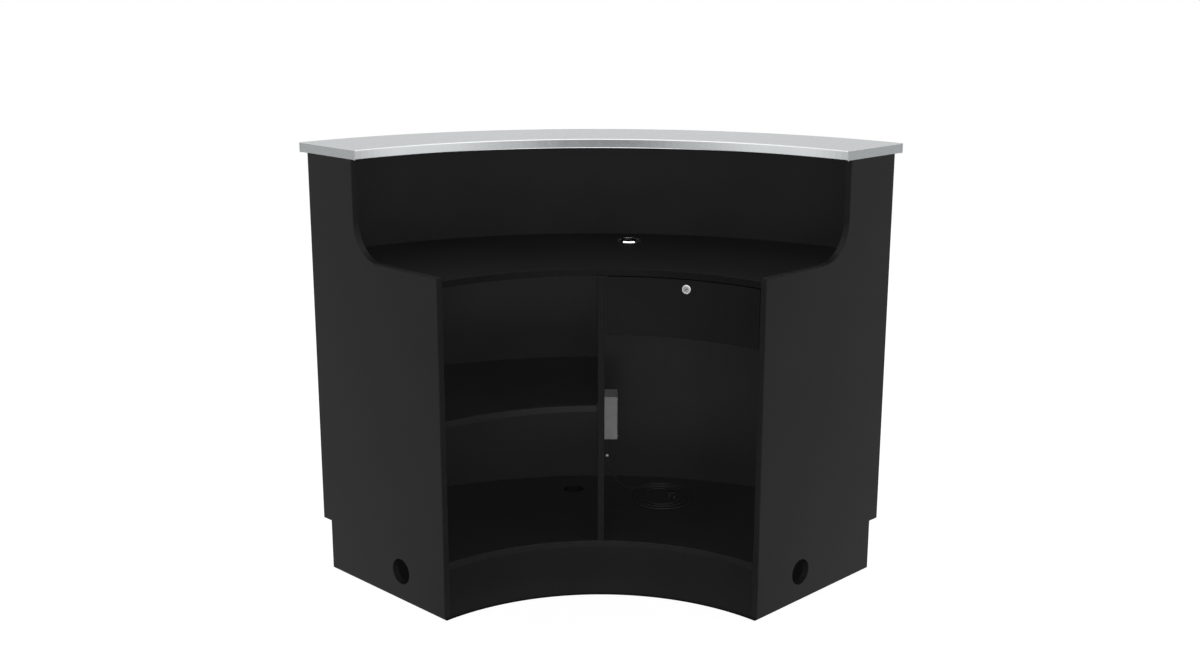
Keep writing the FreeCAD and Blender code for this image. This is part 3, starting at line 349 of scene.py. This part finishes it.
finishes = {
    "black_board": makeBlackBoard("black_melamine"),
    "silver_board": makeSilverBoard(),
    "steel": makeMetal("zinc_steel"),
    "bright_metal": makeMetal("bright_chrome"),
    "supply_case": makeMetal("supply_sheet"),
    "plug_metal": makeMetal("plug_nickel"),
    "black_plastic": makePlastic("moulded_black_shaded"),
    "cord_sheath": makePlastic("cord_sheath"),
    "white_plastic": makePlastic("moulded_white_shaded_grey"),
}
edgeBlack = makePlastic("edge_black")
workEdgeShadedBlack = makePlastic("work_edge_shaded_black")
dividerEdgeShadedBlack = makePlastic("divider_edge_shaded_black")
paintedShadeBlack = makePlastic("painted_shade_black")
counterStrip = makeMetal("counter_strip")
lockNickel = makeMetal("lock_nickel")
plugFaceShaded = makeMetal("plug_face_shaded")
ownFinish = {"lock_barrel": lockNickel, "lock_plug": plugFaceShaded}
# each listed board gets a lighter or darker copy of the melamine: painted light and shade in its tone
for name, (tone, gloss, matt) in blackBoard["boards"].items():
    ownFinish[name] = makeBlackBoard(name + "_melamine", tone, gloss, matt)
for part in frame["record"]["subparts"]:
    slots = nodes[part["node"]].data.materials
    slots.clear()
    slots.append(ownFinish.get(part["node"], finishes[part["material_slot"]]))


def finishPiece(name, mesh, body, slot, stands=(), finish=None):
    data = bpy.data.meshes.new(name)
    bmesh.ops.recalc_face_normals(mesh, faces=mesh.faces)
    mesh.to_mesh(data)
    mesh.free()
    data.materials.append(finish or finishes[slot])
    piece = bpy.data.objects.new(name, data)
    scene.collection.objects.link(piece)
    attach(piece, body)
    if stands:
        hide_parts(*stands)
    return piece


# the thin cord: down from the power supply, across the base panel, and round its loose coil to the plug
cordSet = {
    "thick": 0.0036,
    "lie": 0.1321,  # height of its middle on the base panel
    "exit": (0.0165, 0.119673, 0.2800),
    "stretch": [
        (0.0165, 0.119673, 0.2085),
        (0.0395, 0.134673, 0.1685),
        (0.0660, 0.152673, 0.1386),
        (0.0940, 0.175673, 0.1321),
        (0.1210, 0.207673, 0.1321),
        (0.1520, 0.207673, 0.1321),
    ],
    "coilMiddle": (0.1491, 0.116673),
    # reach of the loops from the middle at the far side, right, near side and left, turn after turn
    "reach": [
        0.0910, 0.0785, 0.0890, 0.0684,
        0.0802, 0.0605, 0.0724, 0.0561,
        0.0687, 0.0475, 0.0573, 0.0446,
        0.0550, 0.0252,
    ],
    "pointsPerTurn": 12,
    "tail": 2,  # points left out before the end, where the cord straightens
    "end": [(0.1743, 0.150673, 0.1321), (0.1743, 0.135673, 0.1321)],
    "long": 1.575,
    "stepsAlong": 8,
    "stepsRound": 5,
}


def coilPoints():
    step = 360 / cordSet["pointsPerTurn"]
    outset = 1 / math.cos(math.radians(step / 2))  # the spline runs inside its points
    reach = cordSet["reach"]
    points = []
    turned = step / 2
    while turned < 90 * (len(reach) - 1) - cordSet["tail"] * step:
        quarter, part = divmod(turned / 90, 1)
        ease = part * part * (3 - 2 * part)
        far = reach[int(quarter)] * (1 - ease) + reach[int(quarter) + 1] * ease
        angle = math.radians(turned)
        points.append((
            cordSet["coilMiddle"][0] + far * outset * math.sin(angle),
            cordSet["coilMiddle"][1] + far * outset * math.cos(angle),
            cordSet["lie"],
        ))
        turned += step
    return points


def makeCord():
    route = [cordSet["exit"]] + cordSet["stretch"] + coilPoints() + cordSet["end"]
    data = bpy.data.curves.new("cord", "CURVE")
    data.dimensions = "3D"
    data.resolution_u = cordSet["stepsAlong"]
    data.bevel_depth = cordSet["thick"] / 2
    data.bevel_resolution = cordSet["stepsRound"]
    data.use_fill_caps = True
    spline = data.splines.new("NURBS")
    spline.points.add(len(route) - 1)
    for point, spot in zip(spline.points, route):
        point.co = (*spot, 1)
    spline.order_u = 3
    spline.use_endpoint_u = True
    data.materials.append(finishes["cord_sheath"])
    cord = bpy.data.objects.new("cord", data)
    scene.collection.objects.link(cord)
    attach(cord, "carcass")
    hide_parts("cord_lead", "cord_run", "cord_coil")
    return cord


cord = makeCord()
print("cord laid")

# moulded two-blade plug at the end of the coil, pointing to the staff side
plugSet = {
    "back": Vector((0.1743, 0.135673, 0.1321)),  # where the cord goes in
    "rest": 0.1303,
    "long": 0.027,
    "bodyPart": 0.55,  # of the length, and the strain relief takes the rest
    "wide": 0.024,
    "tall": 0.015,
    "taper": (0.62, 1, 0.82),  # rear end against the front
    "round": 0.0022,
    "neck": 0.0036,  # radius of the strain relief where it meets the body
    "tip": 0.0026,
    "borePart": 0.55,  # of the tip
    "into": 0.002,  # the strain relief goes into the body
    "rings": 4,
    "ringDepth": 0.0006,
    "groove": [(-0.35, 0), (-0.2, 1), (0.2, 1), (0.35, 0)],  # along one ring, and its share of the depth
    "steps": 48,
}


def makePlug():
    mesh = bmesh.new()
    back, tall = plugSet["back"], plugSet["tall"]
    bodyLong = plugSet["long"] * plugSet["bodyPart"]
    reliefLong = plugSet["long"] - bodyLong
    made = bmesh.ops.create_cube(mesh, size=1)["verts"]
    middle = Vector((back.x, back.y - reliefLong - bodyLong / 2, plugSet["rest"] + tall / 2))
    bmesh.ops.scale(mesh, vec=(plugSet["wide"], bodyLong, tall), verts=made)
    rear = [v for v in made if v.co.y > 0]
    bmesh.ops.scale(mesh, vec=plugSet["taper"], verts=rear)
    bmesh.ops.bevel(mesh, geom=list(mesh.edges), offset=plugSet["round"], segments=8, profile=0.5,
                    affect="EDGES", material=-1)
    bmesh.ops.translate(mesh, vec=middle, verts=mesh.verts)
    # ringed strain relief, turned about the cord
    outline = [(plugSet["tip"] * plugSet["borePart"], 0.0), (plugSet["tip"], 0.0)]
    for ring in range(plugSet["rings"]):
        along = (ring + 0.5) / plugSet["rings"]
        radius = plugSet["tip"] + (plugSet["neck"] - plugSet["tip"]) * along
        for shift, drop in plugSet["groove"]:
            at = (ring + 0.5 + shift) / plugSet["rings"] * reliefLong
            outline.append((radius - drop * plugSet["ringDepth"], at))
    outline.append((plugSet["neck"], reliefLong + plugSet["into"]))
    verts = [mesh.verts.new((back.x + r, back.y - along, back.z)) for r, along in outline]
    edges = [mesh.edges.new(pair) for pair in zip(verts, verts[1:])]
    bmesh.ops.spin(mesh, geom=verts + edges, cent=back, axis=(0, 1, 0), angle=math.tau,
                   steps=plugSet["steps"], use_merge=True)
    bmesh.ops.holes_fill(mesh, edges=[e for e in mesh.edges if e.is_boundary], sides=0)
    return finishPiece("mains_plug", mesh, "carcass", "black_plastic", ["cord_plug"])


plug = makePlug()

# pale in-line connector on the cord, its white held at mid grey as painted shade: housing with a waist and a
# latch
linkSet = {
    "middle": Vector((0.0165, 0.119673, 0.2370)),
    "wide": 0.0060,
    "deep": 0.0060,
    "tall": 0.0046,
    "round": 0.0006,
    "waist": 0.0007,  # height of the groove round it
    "waistEdge": 0.0001,
    "waistDepth": 0.0004,
    "latch": (0.0024, 0.0010, 0.0030),
    "latchProud": 0.0003,  # its middle before the housing
    "latchRound": 0.0003,
}


def makeLink():
    mesh = bmesh.new()
    made = bmesh.ops.create_cube(mesh, size=1)["verts"]
    bmesh.ops.scale(mesh, vec=(linkSet["wide"], linkSet["deep"], linkSet["tall"]), verts=made)
    bmesh.ops.bevel(mesh, geom=list(mesh.edges), offset=linkSet["round"], segments=6, profile=0.5,
                    affect="EDGES", material=-1)
    half = linkSet["waist"] / 2
    for height in (-half, half):
        bmesh.ops.bisect_plane(mesh, geom=mesh.verts[:] + mesh.edges[:] + mesh.faces[:],
                               plane_co=(0, 0, height), plane_no=(0, 0, 1))
    waist = [f for f in mesh.faces if abs(f.calc_center_median().z) < half * 0.9]
    bmesh.ops.inset_region(mesh, faces=waist, thickness=linkSet["waistEdge"], depth=-linkSet["waistDepth"],
                           use_even_offset=True)
    latch = bmesh.ops.create_cube(mesh, size=1)["verts"]
    bmesh.ops.scale(mesh, vec=linkSet["latch"], verts=latch)
    bmesh.ops.translate(mesh, vec=(0, -linkSet["deep"] / 2 - linkSet["latchProud"], 0), verts=latch)
    latchEdges = [e for e in mesh.edges if e.verts[0] in latch and e.verts[1] in latch]
    bmesh.ops.bevel(mesh, geom=latchEdges, offset=linkSet["latchRound"], segments=4, profile=0.5,
                    affect="EDGES", material=-1)
    bmesh.ops.translate(mesh, vec=linkSet["middle"], verts=mesh.verts)
    return finishPiece("cord_link", mesh, "carcass", "white_plastic", ["cord_connector"])


link = makeLink()
print("plug and connector made")

# cross-recess screws, in parts of the head's radius
screwSet = {
    "recess": 0.62,  # reach of the cross
    "arm": 0.17,  # half its width
    "narrow": 0.8,  # its floor against its mouth
    "deep": 0.22,
    "rings": [(0.86, -0.04), (1.0, -0.12), (1.0, -0.30)],  # radius and drop, from the flat down the side
    "cuts": 2,  # more corners round the head, for each side of the cross
}


def crossScrew(mesh, spot, facing, radius):
    screw = bmesh.new()
    grid = bmesh.ops.create_grid(screw, x_segments=3, y_segments=3, size=1)["verts"]
    arm, recess = screwSet["arm"], screwSet["recess"]
    far, diagonal = math.sqrt(recess ** 2 - arm ** 2), recess * math.sqrt(0.5)
    for vert in grid:
        outX, outY = abs(vert.co.x) > 0.5, abs(vert.co.y) > 0.5
        corner = outX and outY
        vert.co.x = math.copysign(diagonal if corner else far if outX else arm, vert.co.x)
        vert.co.y = math.copysign(diagonal if corner else far if outY else arm, vert.co.y)
    cross = [f for f in screw.faces if min(abs(c) for c in f.calc_center_median().xy) < arm / 2]
    sunk = bmesh.ops.extrude_face_region(screw, geom=cross)["geom"]
    bmesh.ops.delete(screw, geom=[f for f in cross if f.is_valid], context="FACES_ONLY")
    sunkVerts = [g for g in sunk if isinstance(g, bmesh.types.BMVert)]
    bmesh.ops.scale(screw, vec=(screwSet["narrow"], screwSet["narrow"], 1), verts=sunkVerts)
    bmesh.ops.translate(screw, vec=(0, 0, -screwSet["deep"]), verts=sunkVerts)
    for row, (reach, drop) in enumerate(screwSet["rings"]):
        bmesh.ops.extrude_edge_only(screw, edges=[e for e in screw.edges if e.is_boundary])
        if row == 0:
            outline = [e for e in screw.edges if e.is_boundary]
            bmesh.ops.subdivide_edges(screw, edges=outline, cuts=screwSet["cuts"])
        for vert in [v for v in screw.verts if v.is_boundary]:
            vert.co = (*vert.co.xy.normalized() * reach, drop)
    bmesh.ops.holes_fill(screw, edges=[e for e in screw.edges if e.is_boundary], sides=0)
    turn = Vector(facing).to_track_quat("Z", "Y").to_matrix().to_4x4()
    seat = Matrix.Translation((0, 0, -screwSet["rings"][-1][1]))
    move = Matrix.Translation(Vector(spot)) @ turn @ Matrix.Scale(radius, 4) @ seat
    bmesh.ops.transform(screw, matrix=move, verts=screw.verts)
    data = bpy.data.meshes.new("screw")
    screw.to_mesh(data)
    screw.free()
    mesh.from_mesh(data)
    bpy.data.meshes.remove(data)


# power supply cover: four small screws near the corners of its outer face
supplyScrews = {"edge": 0.0055, "radius": 0.0022}


def makeSupplyScrews():
    low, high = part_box("driver_cover")
    mesh = bmesh.new()
    inset = supplyScrews["edge"]
    for y in (low.y + inset, high.y - inset):
        for z in (low.z + inset, high.z - inset):
            crossScrew(mesh, (high.x, y, z), (1, 0, 0), supplyScrews["radius"])
    finishPiece("supply_screws", mesh, "carcass", "steel")


# keeper under the work surface: two screws through its foot
keeperScrews = {
    "apart": 0.022,
    "radius": 0.0032,
    "turn": 22.5,  # degrees, the way the drawer runs
    "back": 0.002,  # behind the keeper's middle
    "foot": 0.0015,  # thickness of its foot
}


def makeKeeperScrews():
    low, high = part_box("lock_keeper")
    turn = math.radians(keeperScrews["turn"])
    across = Vector((math.cos(turn), -math.sin(turn), 0))
    along = Vector((math.sin(turn), math.cos(turn), 0))
    middle = (low + high) / 2
    mesh = bmesh.new()
    for side in (-1, 1):
        spot = middle + across * side * keeperScrews["apart"] / 2 + along * keeperScrews["back"]
        spot.z = high.z - keeperScrews["foot"]
        crossScrew(mesh, spot, (0, 0, -1), keeperScrews["radius"])
    finishPiece("keeper_screws", mesh, "carcass", "steel")


# wafers that stand in the keyway of the lock's plug, one behind the other, coloured near black as painted
# shade in the keyway
waferSet = {
    "middle": Vector((0.183838, -0.201449, 0.723)),
    "turn": 22.5,  # degrees, the way the drawer runs
    "slant": 40.0,  # degrees, the keyway in the plug's face
    "size": (0.0072, 0.0015, 0.0008),
    "round": 0.0001,
    "lifts": [0.0003, -0.0003, 0.0001],  # along the keyway
    "pitch": 0.0010,
    "face": -0.0020,  # plug face before the flange seat
    "sunk": 0.0006,
}


def makeWafers():
    mesh = bmesh.new()
    turn = math.radians(waferSet["turn"])
    along = Vector((math.sin(turn), math.cos(turn), 0))
    first = waferSet["face"] + waferSet["sunk"] + waferSet["size"][2] / 2
    slant = Matrix.Rotation(math.radians(waferSet["slant"]), 4, "Z")
    facing = (-along).to_track_quat("Z", "Y").to_matrix().to_4x4()
    for row, lift in enumerate(waferSet["lifts"]):
        made = bmesh.ops.create_cube(mesh, size=1)["verts"]
        bmesh.ops.scale(mesh, vec=waferSet["size"], verts=made)
        bmesh.ops.translate(mesh, vec=(lift, 0, 0), verts=made)
        spot = waferSet["middle"] + along * (first + row * waferSet["pitch"])
        bmesh.ops.transform(mesh, matrix=Matrix.Translation(spot) @ facing @ slant, verts=made)
        edges = [e for e in mesh.edges if e.verts[0] in made and e.verts[1] in made]
        bmesh.ops.bevel(mesh, geom=edges, offset=waferSet["round"], segments=2, profile=0.5,
                        affect="EDGES", material=-1)
    finishPiece("keyway_wafers", mesh, "lock_core", "steel", finish=paintedShadeBlack)


makeSupplyScrews()
makeKeeperScrews()
makeWafers()
print("screws set")

# edge bands glued along the cut edges of the boards, set out about the centre of the desk's arcs
bandSet = {
    "arcCentre": -0.654327,
    "half": 45.0,  # half of the plan angle, degrees
    "board": 0.015,
    "proud": 0.0004,
    "deep": 0.0020,
    "curve": 0.0010,
    "segments": 4,
    "past": 0.00015,  # past the faces of the board
    "clear": 0.0004,  # short of what stands at its ends
    "footClear": 0.0008,  # above the floor
    "same": 0.0001,  # nearer than this is the same place
    "steps": 72,
    "hollowSteps": 18,
    # name, radius of the edge, lower and upper side, what stands at its left and right ends, finish
    "arcs": [
        ("work_edge_band", 0.492, 0.745, 0.760, "panel", "panel", workEdgeShadedBlack),
        ("base_edge_band", 0.486, 0.115, 0.130, "panel", "panel", edgeBlack),
        ("shelf_edge_band", 0.504, 0.431, 0.446, "panel", "divider", edgeBlack),
    ],
    "divider": (0.486, 0.130, 0.745, 0.0006),  # radius, lower and upper end, short of both together
    # end panels: staff edge, upper edge, top of the step, underside of the counter, hollow round
    "panel": (0.486, 0.771, 0.769, 0.990, 0.085),
}
# bright strips on the long edges of the counter, with rolled corners
stripSet = {
    "edges": [(0.755, -1), (0.965, 1)],  # radius, and the way it faces
    "past": 0.0003,  # past the ends of the counter
    "low": 0.990,
    "high": 1.012,
    "proud": 0.0005,
    "deep": 0.0040,
    "curve": 0.0028,
}


def onArc(radius, angle, height):
    turn = math.radians(angle)
    return Vector((radius * math.sin(turn), bandSet["arcCentre"] + radius * math.cos(turn), height))


def arcBand(mesh, section, rounded, curve, start, end):
    # turns a section of (radius, height) corners about the arc centre, with some corners rounded
    kept = set(mesh.verts)
    corners = [mesh.verts.new(onArc(radius, start, height)) for radius, height in section]
    mesh.faces.new(corners)
    if rounded:
        bmesh.ops.bevel(mesh, geom=[corners[i] for i in rounded], offset=curve,
                        segments=bandSet["segments"], profile=0.5, affect="VERTICES", material=-1)
    verts = [v for v in mesh.verts if v not in kept]
    face = verts[0].link_faces[0]
    edges = list(face.edges)
    bmesh.ops.delete(mesh, geom=[face], context="FACES_ONLY")
    bmesh.ops.spin(mesh, geom=verts + edges, cent=(0, bandSet["arcCentre"], 0), axis=(0, 0, 1),
                   angle=math.radians(start - end), steps=bandSet["steps"])
    bmesh.ops.holes_fill(mesh, edges=[e for e in mesh.edges if e.is_boundary], sides=0)


def makeArcBands():
    proud, deep, past = bandSet["proud"], bandSet["deep"], bandSet["past"]
    board, clear = bandSet["board"], bandSet["clear"]
    for name, radius, low, high, left, right, finish in bandSet["arcs"]:
        panelEnd = bandSet["half"] - math.degrees(math.asin((board + clear) / radius))
        dividerEnd = math.degrees(math.asin((board / 2 + clear) / radius))
        start = -panelEnd if left == "panel" else dividerEnd
        end = panelEnd if right == "panel" else -dividerEnd
        mesh = bmesh.new()
        near, rear = radius - proud, radius + deep
        section = [(rear, low - past), (near, low - past), (near, high + past), (rear, high + past)]
        arcBand(mesh, section, (1, 2), bandSet["curve"], start, end)
        finishPiece(name, mesh, "carcass", "black_plastic", finish=finish)


# raw band, coloured near black as painted shade of the work surface's overhang, along the top of the drawer
# front, in the gap under the work surface
drawerBand = {
    "radii": (0.4898, 0.5032),
    "heights": (0.7426, 0.7433),
    "round": 0.0003,
    "ends": (1.75, 42.35),  # degrees round from the middle of the desk
}


def makeDrawerBand():
    near, rear = drawerBand["radii"]
    low, high = drawerBand["heights"]
    mesh = bmesh.new()
    section = [(rear, low), (near, low), (near, high), (rear, high)]
    arcBand(mesh, section, (2,), drawerBand["round"], *drawerBand["ends"])
    finishPiece("drawer_top_shade_band", mesh, "drawer", "black_board", finish=paintedShadeBlack)


def makeCounterStrips():
    mesh = bmesh.new()
    low, high = stripSet["low"] - bandSet["past"], stripSet["high"] + bandSet["past"]
    half = bandSet["half"] + math.degrees(stripSet["past"] / stripSet["edges"][0][0])
    for radius, way in stripSet["edges"]:
        near, rear = radius + way * stripSet["proud"], radius - way * stripSet["deep"]
        section = [(rear, low), (near, low), (near, high), (rear, high)]
        arcBand(mesh, section, (1, 2), stripSet["curve"], -half, half)
    finishPiece("counter_edge_strips", mesh, "carcass", "silver_board", finish=counterStrip)


def makeDividerBand():
    radius, low, high, short = bandSet["divider"]
    mesh = bmesh.new()
    made = bmesh.ops.create_cube(mesh, size=1)["verts"]
    deep = bandSet["proud"] + bandSet["deep"]
    wide = bandSet["board"] + 2 * bandSet["past"]
    bmesh.ops.scale(mesh, vec=(wide, deep, high - low - short), verts=made)
    middle = onArc(radius - bandSet["proud"] + deep / 2, 0, (low + high) / 2)
    bmesh.ops.translate(mesh, vec=middle, verts=made)
    nearSide = min(v.co.y for v in made) + bandSet["same"]
    uprights = [e for e in mesh.edges if all(v.co.y < nearSide for v in e.verts)
                and e.calc_length() > wide + bandSet["same"]]
    bmesh.ops.bevel(mesh, geom=uprights, offset=bandSet["curve"], segments=bandSet["segments"],
                    profile=0.5, affect="EDGES", material=-1)
    finishPiece("divider_edge_band", mesh, "carcass", "black_plastic", finish=dividerEdgeShadedBlack)


def makePanelBand(name, side):
    # one strip up the staff edge, along the step, round its hollow and up to the counter
    edge, upper, step, top, hollow = bandSet["panel"]
    proud, past = bandSet["proud"], bandSet["past"]
    angle = side * bandSet["half"]
    outward = (onArc(1, angle, 0) - onArc(0, angle, 0)).normalized()
    inward = Vector((-side * outward.y, side * outward.x, 0))

    def spot(radius, height):
        return onArc(radius, angle, height) - inward * past

    mesh = bmesh.new()
    line = [mesh.verts.new(spot(*at)) for at in (
        (edge - proud, bandSet["footClear"]), (edge - proud, step + proud), (upper - hollow, step + proud))]
    for pair in zip(line, line[1:]):
        mesh.edges.new(pair)
    turned = bmesh.ops.spin(mesh, geom=[line[-1]], cent=spot(upper - hollow, step + hollow),
                            axis=Vector((0, 0, -1)).cross(outward), angle=math.pi / 2,
                            steps=bandSet["hollowSteps"])
    last = [g for g in turned["geom_last"] if isinstance(g, bmesh.types.BMVert)][0]
    mesh.edges.new((last, mesh.verts.new(spot(upper - proud, top - bandSet["clear"]))))
    grown = bmesh.ops.extrude_edge_only(mesh, edges=mesh.edges[:])["geom"]
    acrossBoard = inward * (bandSet["board"] + 2 * past)
    bmesh.ops.translate(mesh, vec=acrossBoard, verts=[g for g in grown if isinstance(g, bmesh.types.BMVert)])
    mesh.normal_update()
    lowest = min(mesh.faces, key=lambda face: face.calc_center_median().z)
    if lowest.normal.dot(outward) > 0:
        bmesh.ops.reverse_faces(mesh, faces=mesh.faces[:])
    outer = set(mesh.verts)
    bmesh.ops.solidify(mesh, geom=mesh.faces[:], thickness=proud + bandSet["deep"])
    long = [e for e in mesh.edges if set(e.verts) <= outer
            and abs((e.verts[0].co - e.verts[1].co).dot(inward)) < bandSet["same"]]
    bmesh.ops.bevel(mesh, geom=long, offset=bandSet["curve"], segments=bandSet["segments"],
                    profile=0.5, affect="EDGES", material=-1)
    finishPiece(name, mesh, "carcass", "black_plastic", finish=edgeBlack)


# stained fibre that is left raw, coloured near black as painted shade: the wall of the base panel's cable
# hole and the hidden face of the toe kick
shadeLiningSet = {
    "hole": (0.832, -4.6, 0.1225, 0.025),  # radius in plan, angle, height, radius of the hole
    "short": 0.0004,
    "sides": 64,
    "toe": (0.897, 0.001, 0.114),  # radius of the hidden face, lower and upper edge
    "toeHalf": 43.5,  # degrees
    "thin": 0.0003,
}


def makeHoleWall():
    radius, angle, height, hole = shadeLiningSet["hole"]
    mesh = bmesh.new()
    bmesh.ops.create_cone(mesh, cap_ends=False, segments=shadeLiningSet["sides"], radius1=hole, radius2=hole,
                          depth=bandSet["board"] - shadeLiningSet["short"])
    bmesh.ops.translate(mesh, vec=onArc(radius, angle, height), verts=mesh.verts)
    bmesh.ops.solidify(mesh, geom=mesh.faces[:], thickness=shadeLiningSet["thin"])
    finishPiece("base_hole_shade_wall", mesh, "carcass", "black_board", finish=paintedShadeBlack)


def makeToeBack():
    radius, low, high = shadeLiningSet["toe"]
    mesh = bmesh.new()
    near = radius - shadeLiningSet["thin"]
    section = [(radius, low), (near, low), (near, high), (radius, high)]
    arcBand(mesh, section, (), 0, -shadeLiningSet["toeHalf"], shadeLiningSet["toeHalf"])
    finishPiece("toe_kick_shade_back", mesh, "carcass", "black_board", finish=paintedShadeBlack)


makeArcBands()
makeDrawerBand()
makeHoleWall()
makeToeBack()
makeCounterStrips()
makeDividerBand()
makePanelBand("left_panel_edge_band", -1)
makePanelBand("right_panel_edge_band", 1)
print("edge bands on")

# white studio: a pale floor that keeps a soft shadow, a white surround, and broad soft lamps. What gloss
# mirrors is a soft box to each side of the staff side, the dim room between them, and painted light on the
# floor.
studio = {
    "floor": 5.0,
    "floorSides": 96,
    "floorTone": 0.40,
    "floorGlow": 0.84,
    "floorShade": 0.34,
    "ambient": 0.05,
    # levels from the staff side (0) over the sides (0.5) to the customer side (1)
    "roomLevels": [(0.0, 0.215), (0.02, 0.28), (0.045, 0.43), (0.16, 0.68), (0.32, 0.70),
                   (0.44, 0.44), (0.50, 0.36), (0.62, 0.38), (0.92, 0.40), (1.0, 0.47)],
    "roomGain": 1.8,
    "ceiling": 0.9,  # more from overhead
    "ceilingFrom": (0.35, 0.65),  # the rise over which it comes in
    # painted light and shade on the floor as gloss mirrors it, graded by bearing
    "floorLevels": [(0.0, 0.06), (0.22, 0.08), (0.34, 0.30), (0.44, 0.62), (0.52, 0.68), (0.60, 0.72)],
    # painted pools of light on the floor, seen only in gloss, that the backs of the bays mirror: place
    # across and ahead, full reach, whole reach, level
    "floorPaintedPools": [(0.25, -2.55, 1.05, 1.65, 2.1), (-0.20, -1.02, 0.30, 0.62, 2.2)],
    "floorMiddle": -0.25,  # the level of a spot on the floor goes by its bearing from here
    "plinth": (0.480, 0.905),  # radii between which the floor under the desk is painted dark: painted shade
    "plinthShadeTone": 0.012,
    "lampHigh": 4.0,
    "lamps": [
        # name, degrees above the floor, degrees round from the staff side, spread, strength, shadow
        ("front_soft", 8, 0, 30, 0.45, True),
        ("front_fill", 24, 0, 30, 2.65, False),
        ("left_soft", 22, -62, 40, 0.15, True),
        ("right_soft", 22, 62, 40, 0.15, True),
        ("top_soft", 80, 180, 90, 0.15, True),
        ("rear_soft", 35, 165, 50, 1.2, True),
    ],
}


def rays(tree):
    names = ("Is Camera Ray", "Is Glossy Ray", "Is Transmission Ray")
    return [tree.node("ShaderNodeLightPath", output=name) for name in names]


def levelTowards(tree, way, levels):
    towards = tree.node("ShaderNodeVectorMath", {"operation": "NORMALIZE"}, {0: way})
    along = tree.node("ShaderNodeSeparateXYZ", {}, {0: towards}, "Y")
    return tree.node("ShaderNodeValToRGB", {"stops": levels}, {0: along * 0.5 + 0.5})


def underDesk(tree):
    spot = tree.node("ShaderNodeTexCoord", output="Object")
    moved = tree.node("ShaderNodeVectorMath", {"operation": "SUBTRACT"},
                      {0: spot, 1: (0, bandSet["arcCentre"], 0)})
    far = tree.node("ShaderNodeVectorMath", {"operation": "LENGTH"}, {0: moved}, "Value")
    side = tree.node("ShaderNodeMath", {"operation": "ABSOLUTE"},
                     {0: tree.node("ShaderNodeSeparateXYZ", {}, {0: moved}, "X")})
    ahead = tree.node("ShaderNodeSeparateXYZ", {}, {0: moved}, "Y")
    near, rear = studio["plinth"]
    return (tree.sums("GREATER_THAN", far, near) * tree.sums("LESS_THAN", far, rear)
            * tree.sums("LESS_THAN", side, ahead))


def makeStudio():
    mesh = bmesh.new()
    bmesh.ops.create_circle(mesh, cap_ends=True, radius=studio["floor"], segments=studio["floorSides"])
    data = bpy.data.meshes.new("floor")
    mesh.to_mesh(data)
    mesh.free()
    floor = bpy.data.objects.new("floor", data)
    scene.collection.objects.link(floor)
    material, tree = newFinish("pale_floor")
    seen, mirrored, through = rays(tree)
    tone, dark, shade = studio["floorTone"], studio["plinthShadeTone"], studio["floorShade"]
    # inside the plinth the floor gets a near-black colour: painted shade under the desk
    inside = underDesk(tree)
    clear = 1 - inside
    plain = tree.node("ShaderNodeBsdfDiffuse", {}, {"Color": tint(tree, inside, (tone,) * 3, (dark,) * 3)})
    soft = tree.node("ShaderNodeBsdfDiffuse", {}, {"Color": (shade, shade, shade, 1)})
    spot = tree.node("ShaderNodeTexCoord", output="Object")
    bearing = tree.node("ShaderNodeVectorMath", {"operation": "SUBTRACT"},
                        {0: spot, 1: (0, studio["floorMiddle"], 0)})
    room = levelTowards(tree, bearing, studio["floorLevels"])
    for across, ahead, full, whole, lit in studio["floorPaintedPools"]:
        away = tree.node("ShaderNodeVectorMath", {"operation": "DISTANCE"},
                         {0: spot, 1: (across, ahead, 0)}, "Value")
        room = room + between(tree, away, full, whole, lit, 0.0)
    white = tree.node("ShaderNodeEmission", {}, {"Color": (1, 1, 1, 1), "Strength": studio["floorGlow"]})
    shown = tree.node("ShaderNodeAddShader", {}, {0: soft, 1: white})
    # dim: the floor's painted glow, seen only in gloss
    dim = tree.node("ShaderNodeEmission", {}, {"Color": room})
    asSeen = tree.node("ShaderNodeMixShader", {}, {0: (seen + through) * clear, 1: plain, 2: shown})
    mixed = tree.node("ShaderNodeMixShader", {}, {0: mirrored * clear, 1: asSeen, 2: dim})
    tree.node("ShaderNodeOutputMaterial", {}, {"Surface": mixed})
    data.materials.append(material)

    world = bpy.data.worlds.new("studio")
    world.use_nodes = True
    world.node_tree.nodes.clear()
    tree = Wire(world.node_tree)
    seen, mirrored, through = rays(tree)
    way = tree.node("ShaderNodeTexCoord", output="Generated")
    above = tree.node("ShaderNodeSeparateXYZ", {}, {0: way}, "Z")
    room = levelTowards(tree, way, studio["roomLevels"]) * studio["roomGain"]
    room = room + between(tree, above, *studio["ceilingFrom"]) * studio["ceiling"]
    direct = seen + through + mirrored * room
    level = direct + (1 - (seen + through + mirrored)) * studio["ambient"]
    sky = tree.node("ShaderNodeBackground", {}, {"Color": level})
    tree.node("ShaderNodeOutputWorld", {}, {"Surface": sky})
    scene.world = world

    for name, above, about, spread, strength, shadow in studio["lamps"]:
        lamp = bpy.data.lights.new(name, "SUN")
        lamp.angle = math.radians(spread)
        lamp.energy = strength
        lamp.use_shadow = shadow
        holder = bpy.data.objects.new(name, lamp)
        turn = Matrix.Rotation(math.radians(about), 4, "Z")
        tilt = Matrix.Rotation(math.radians(90 - above), 4, "X")
        holder.matrix_world = Matrix.Translation((0, 0, studio["lampHigh"])) @ turn @ tilt
        holder.visible_glossy = False  # gloss mirrors the surround
        scene.collection.objects.link(holder)


makeStudio()
print("studio lit")
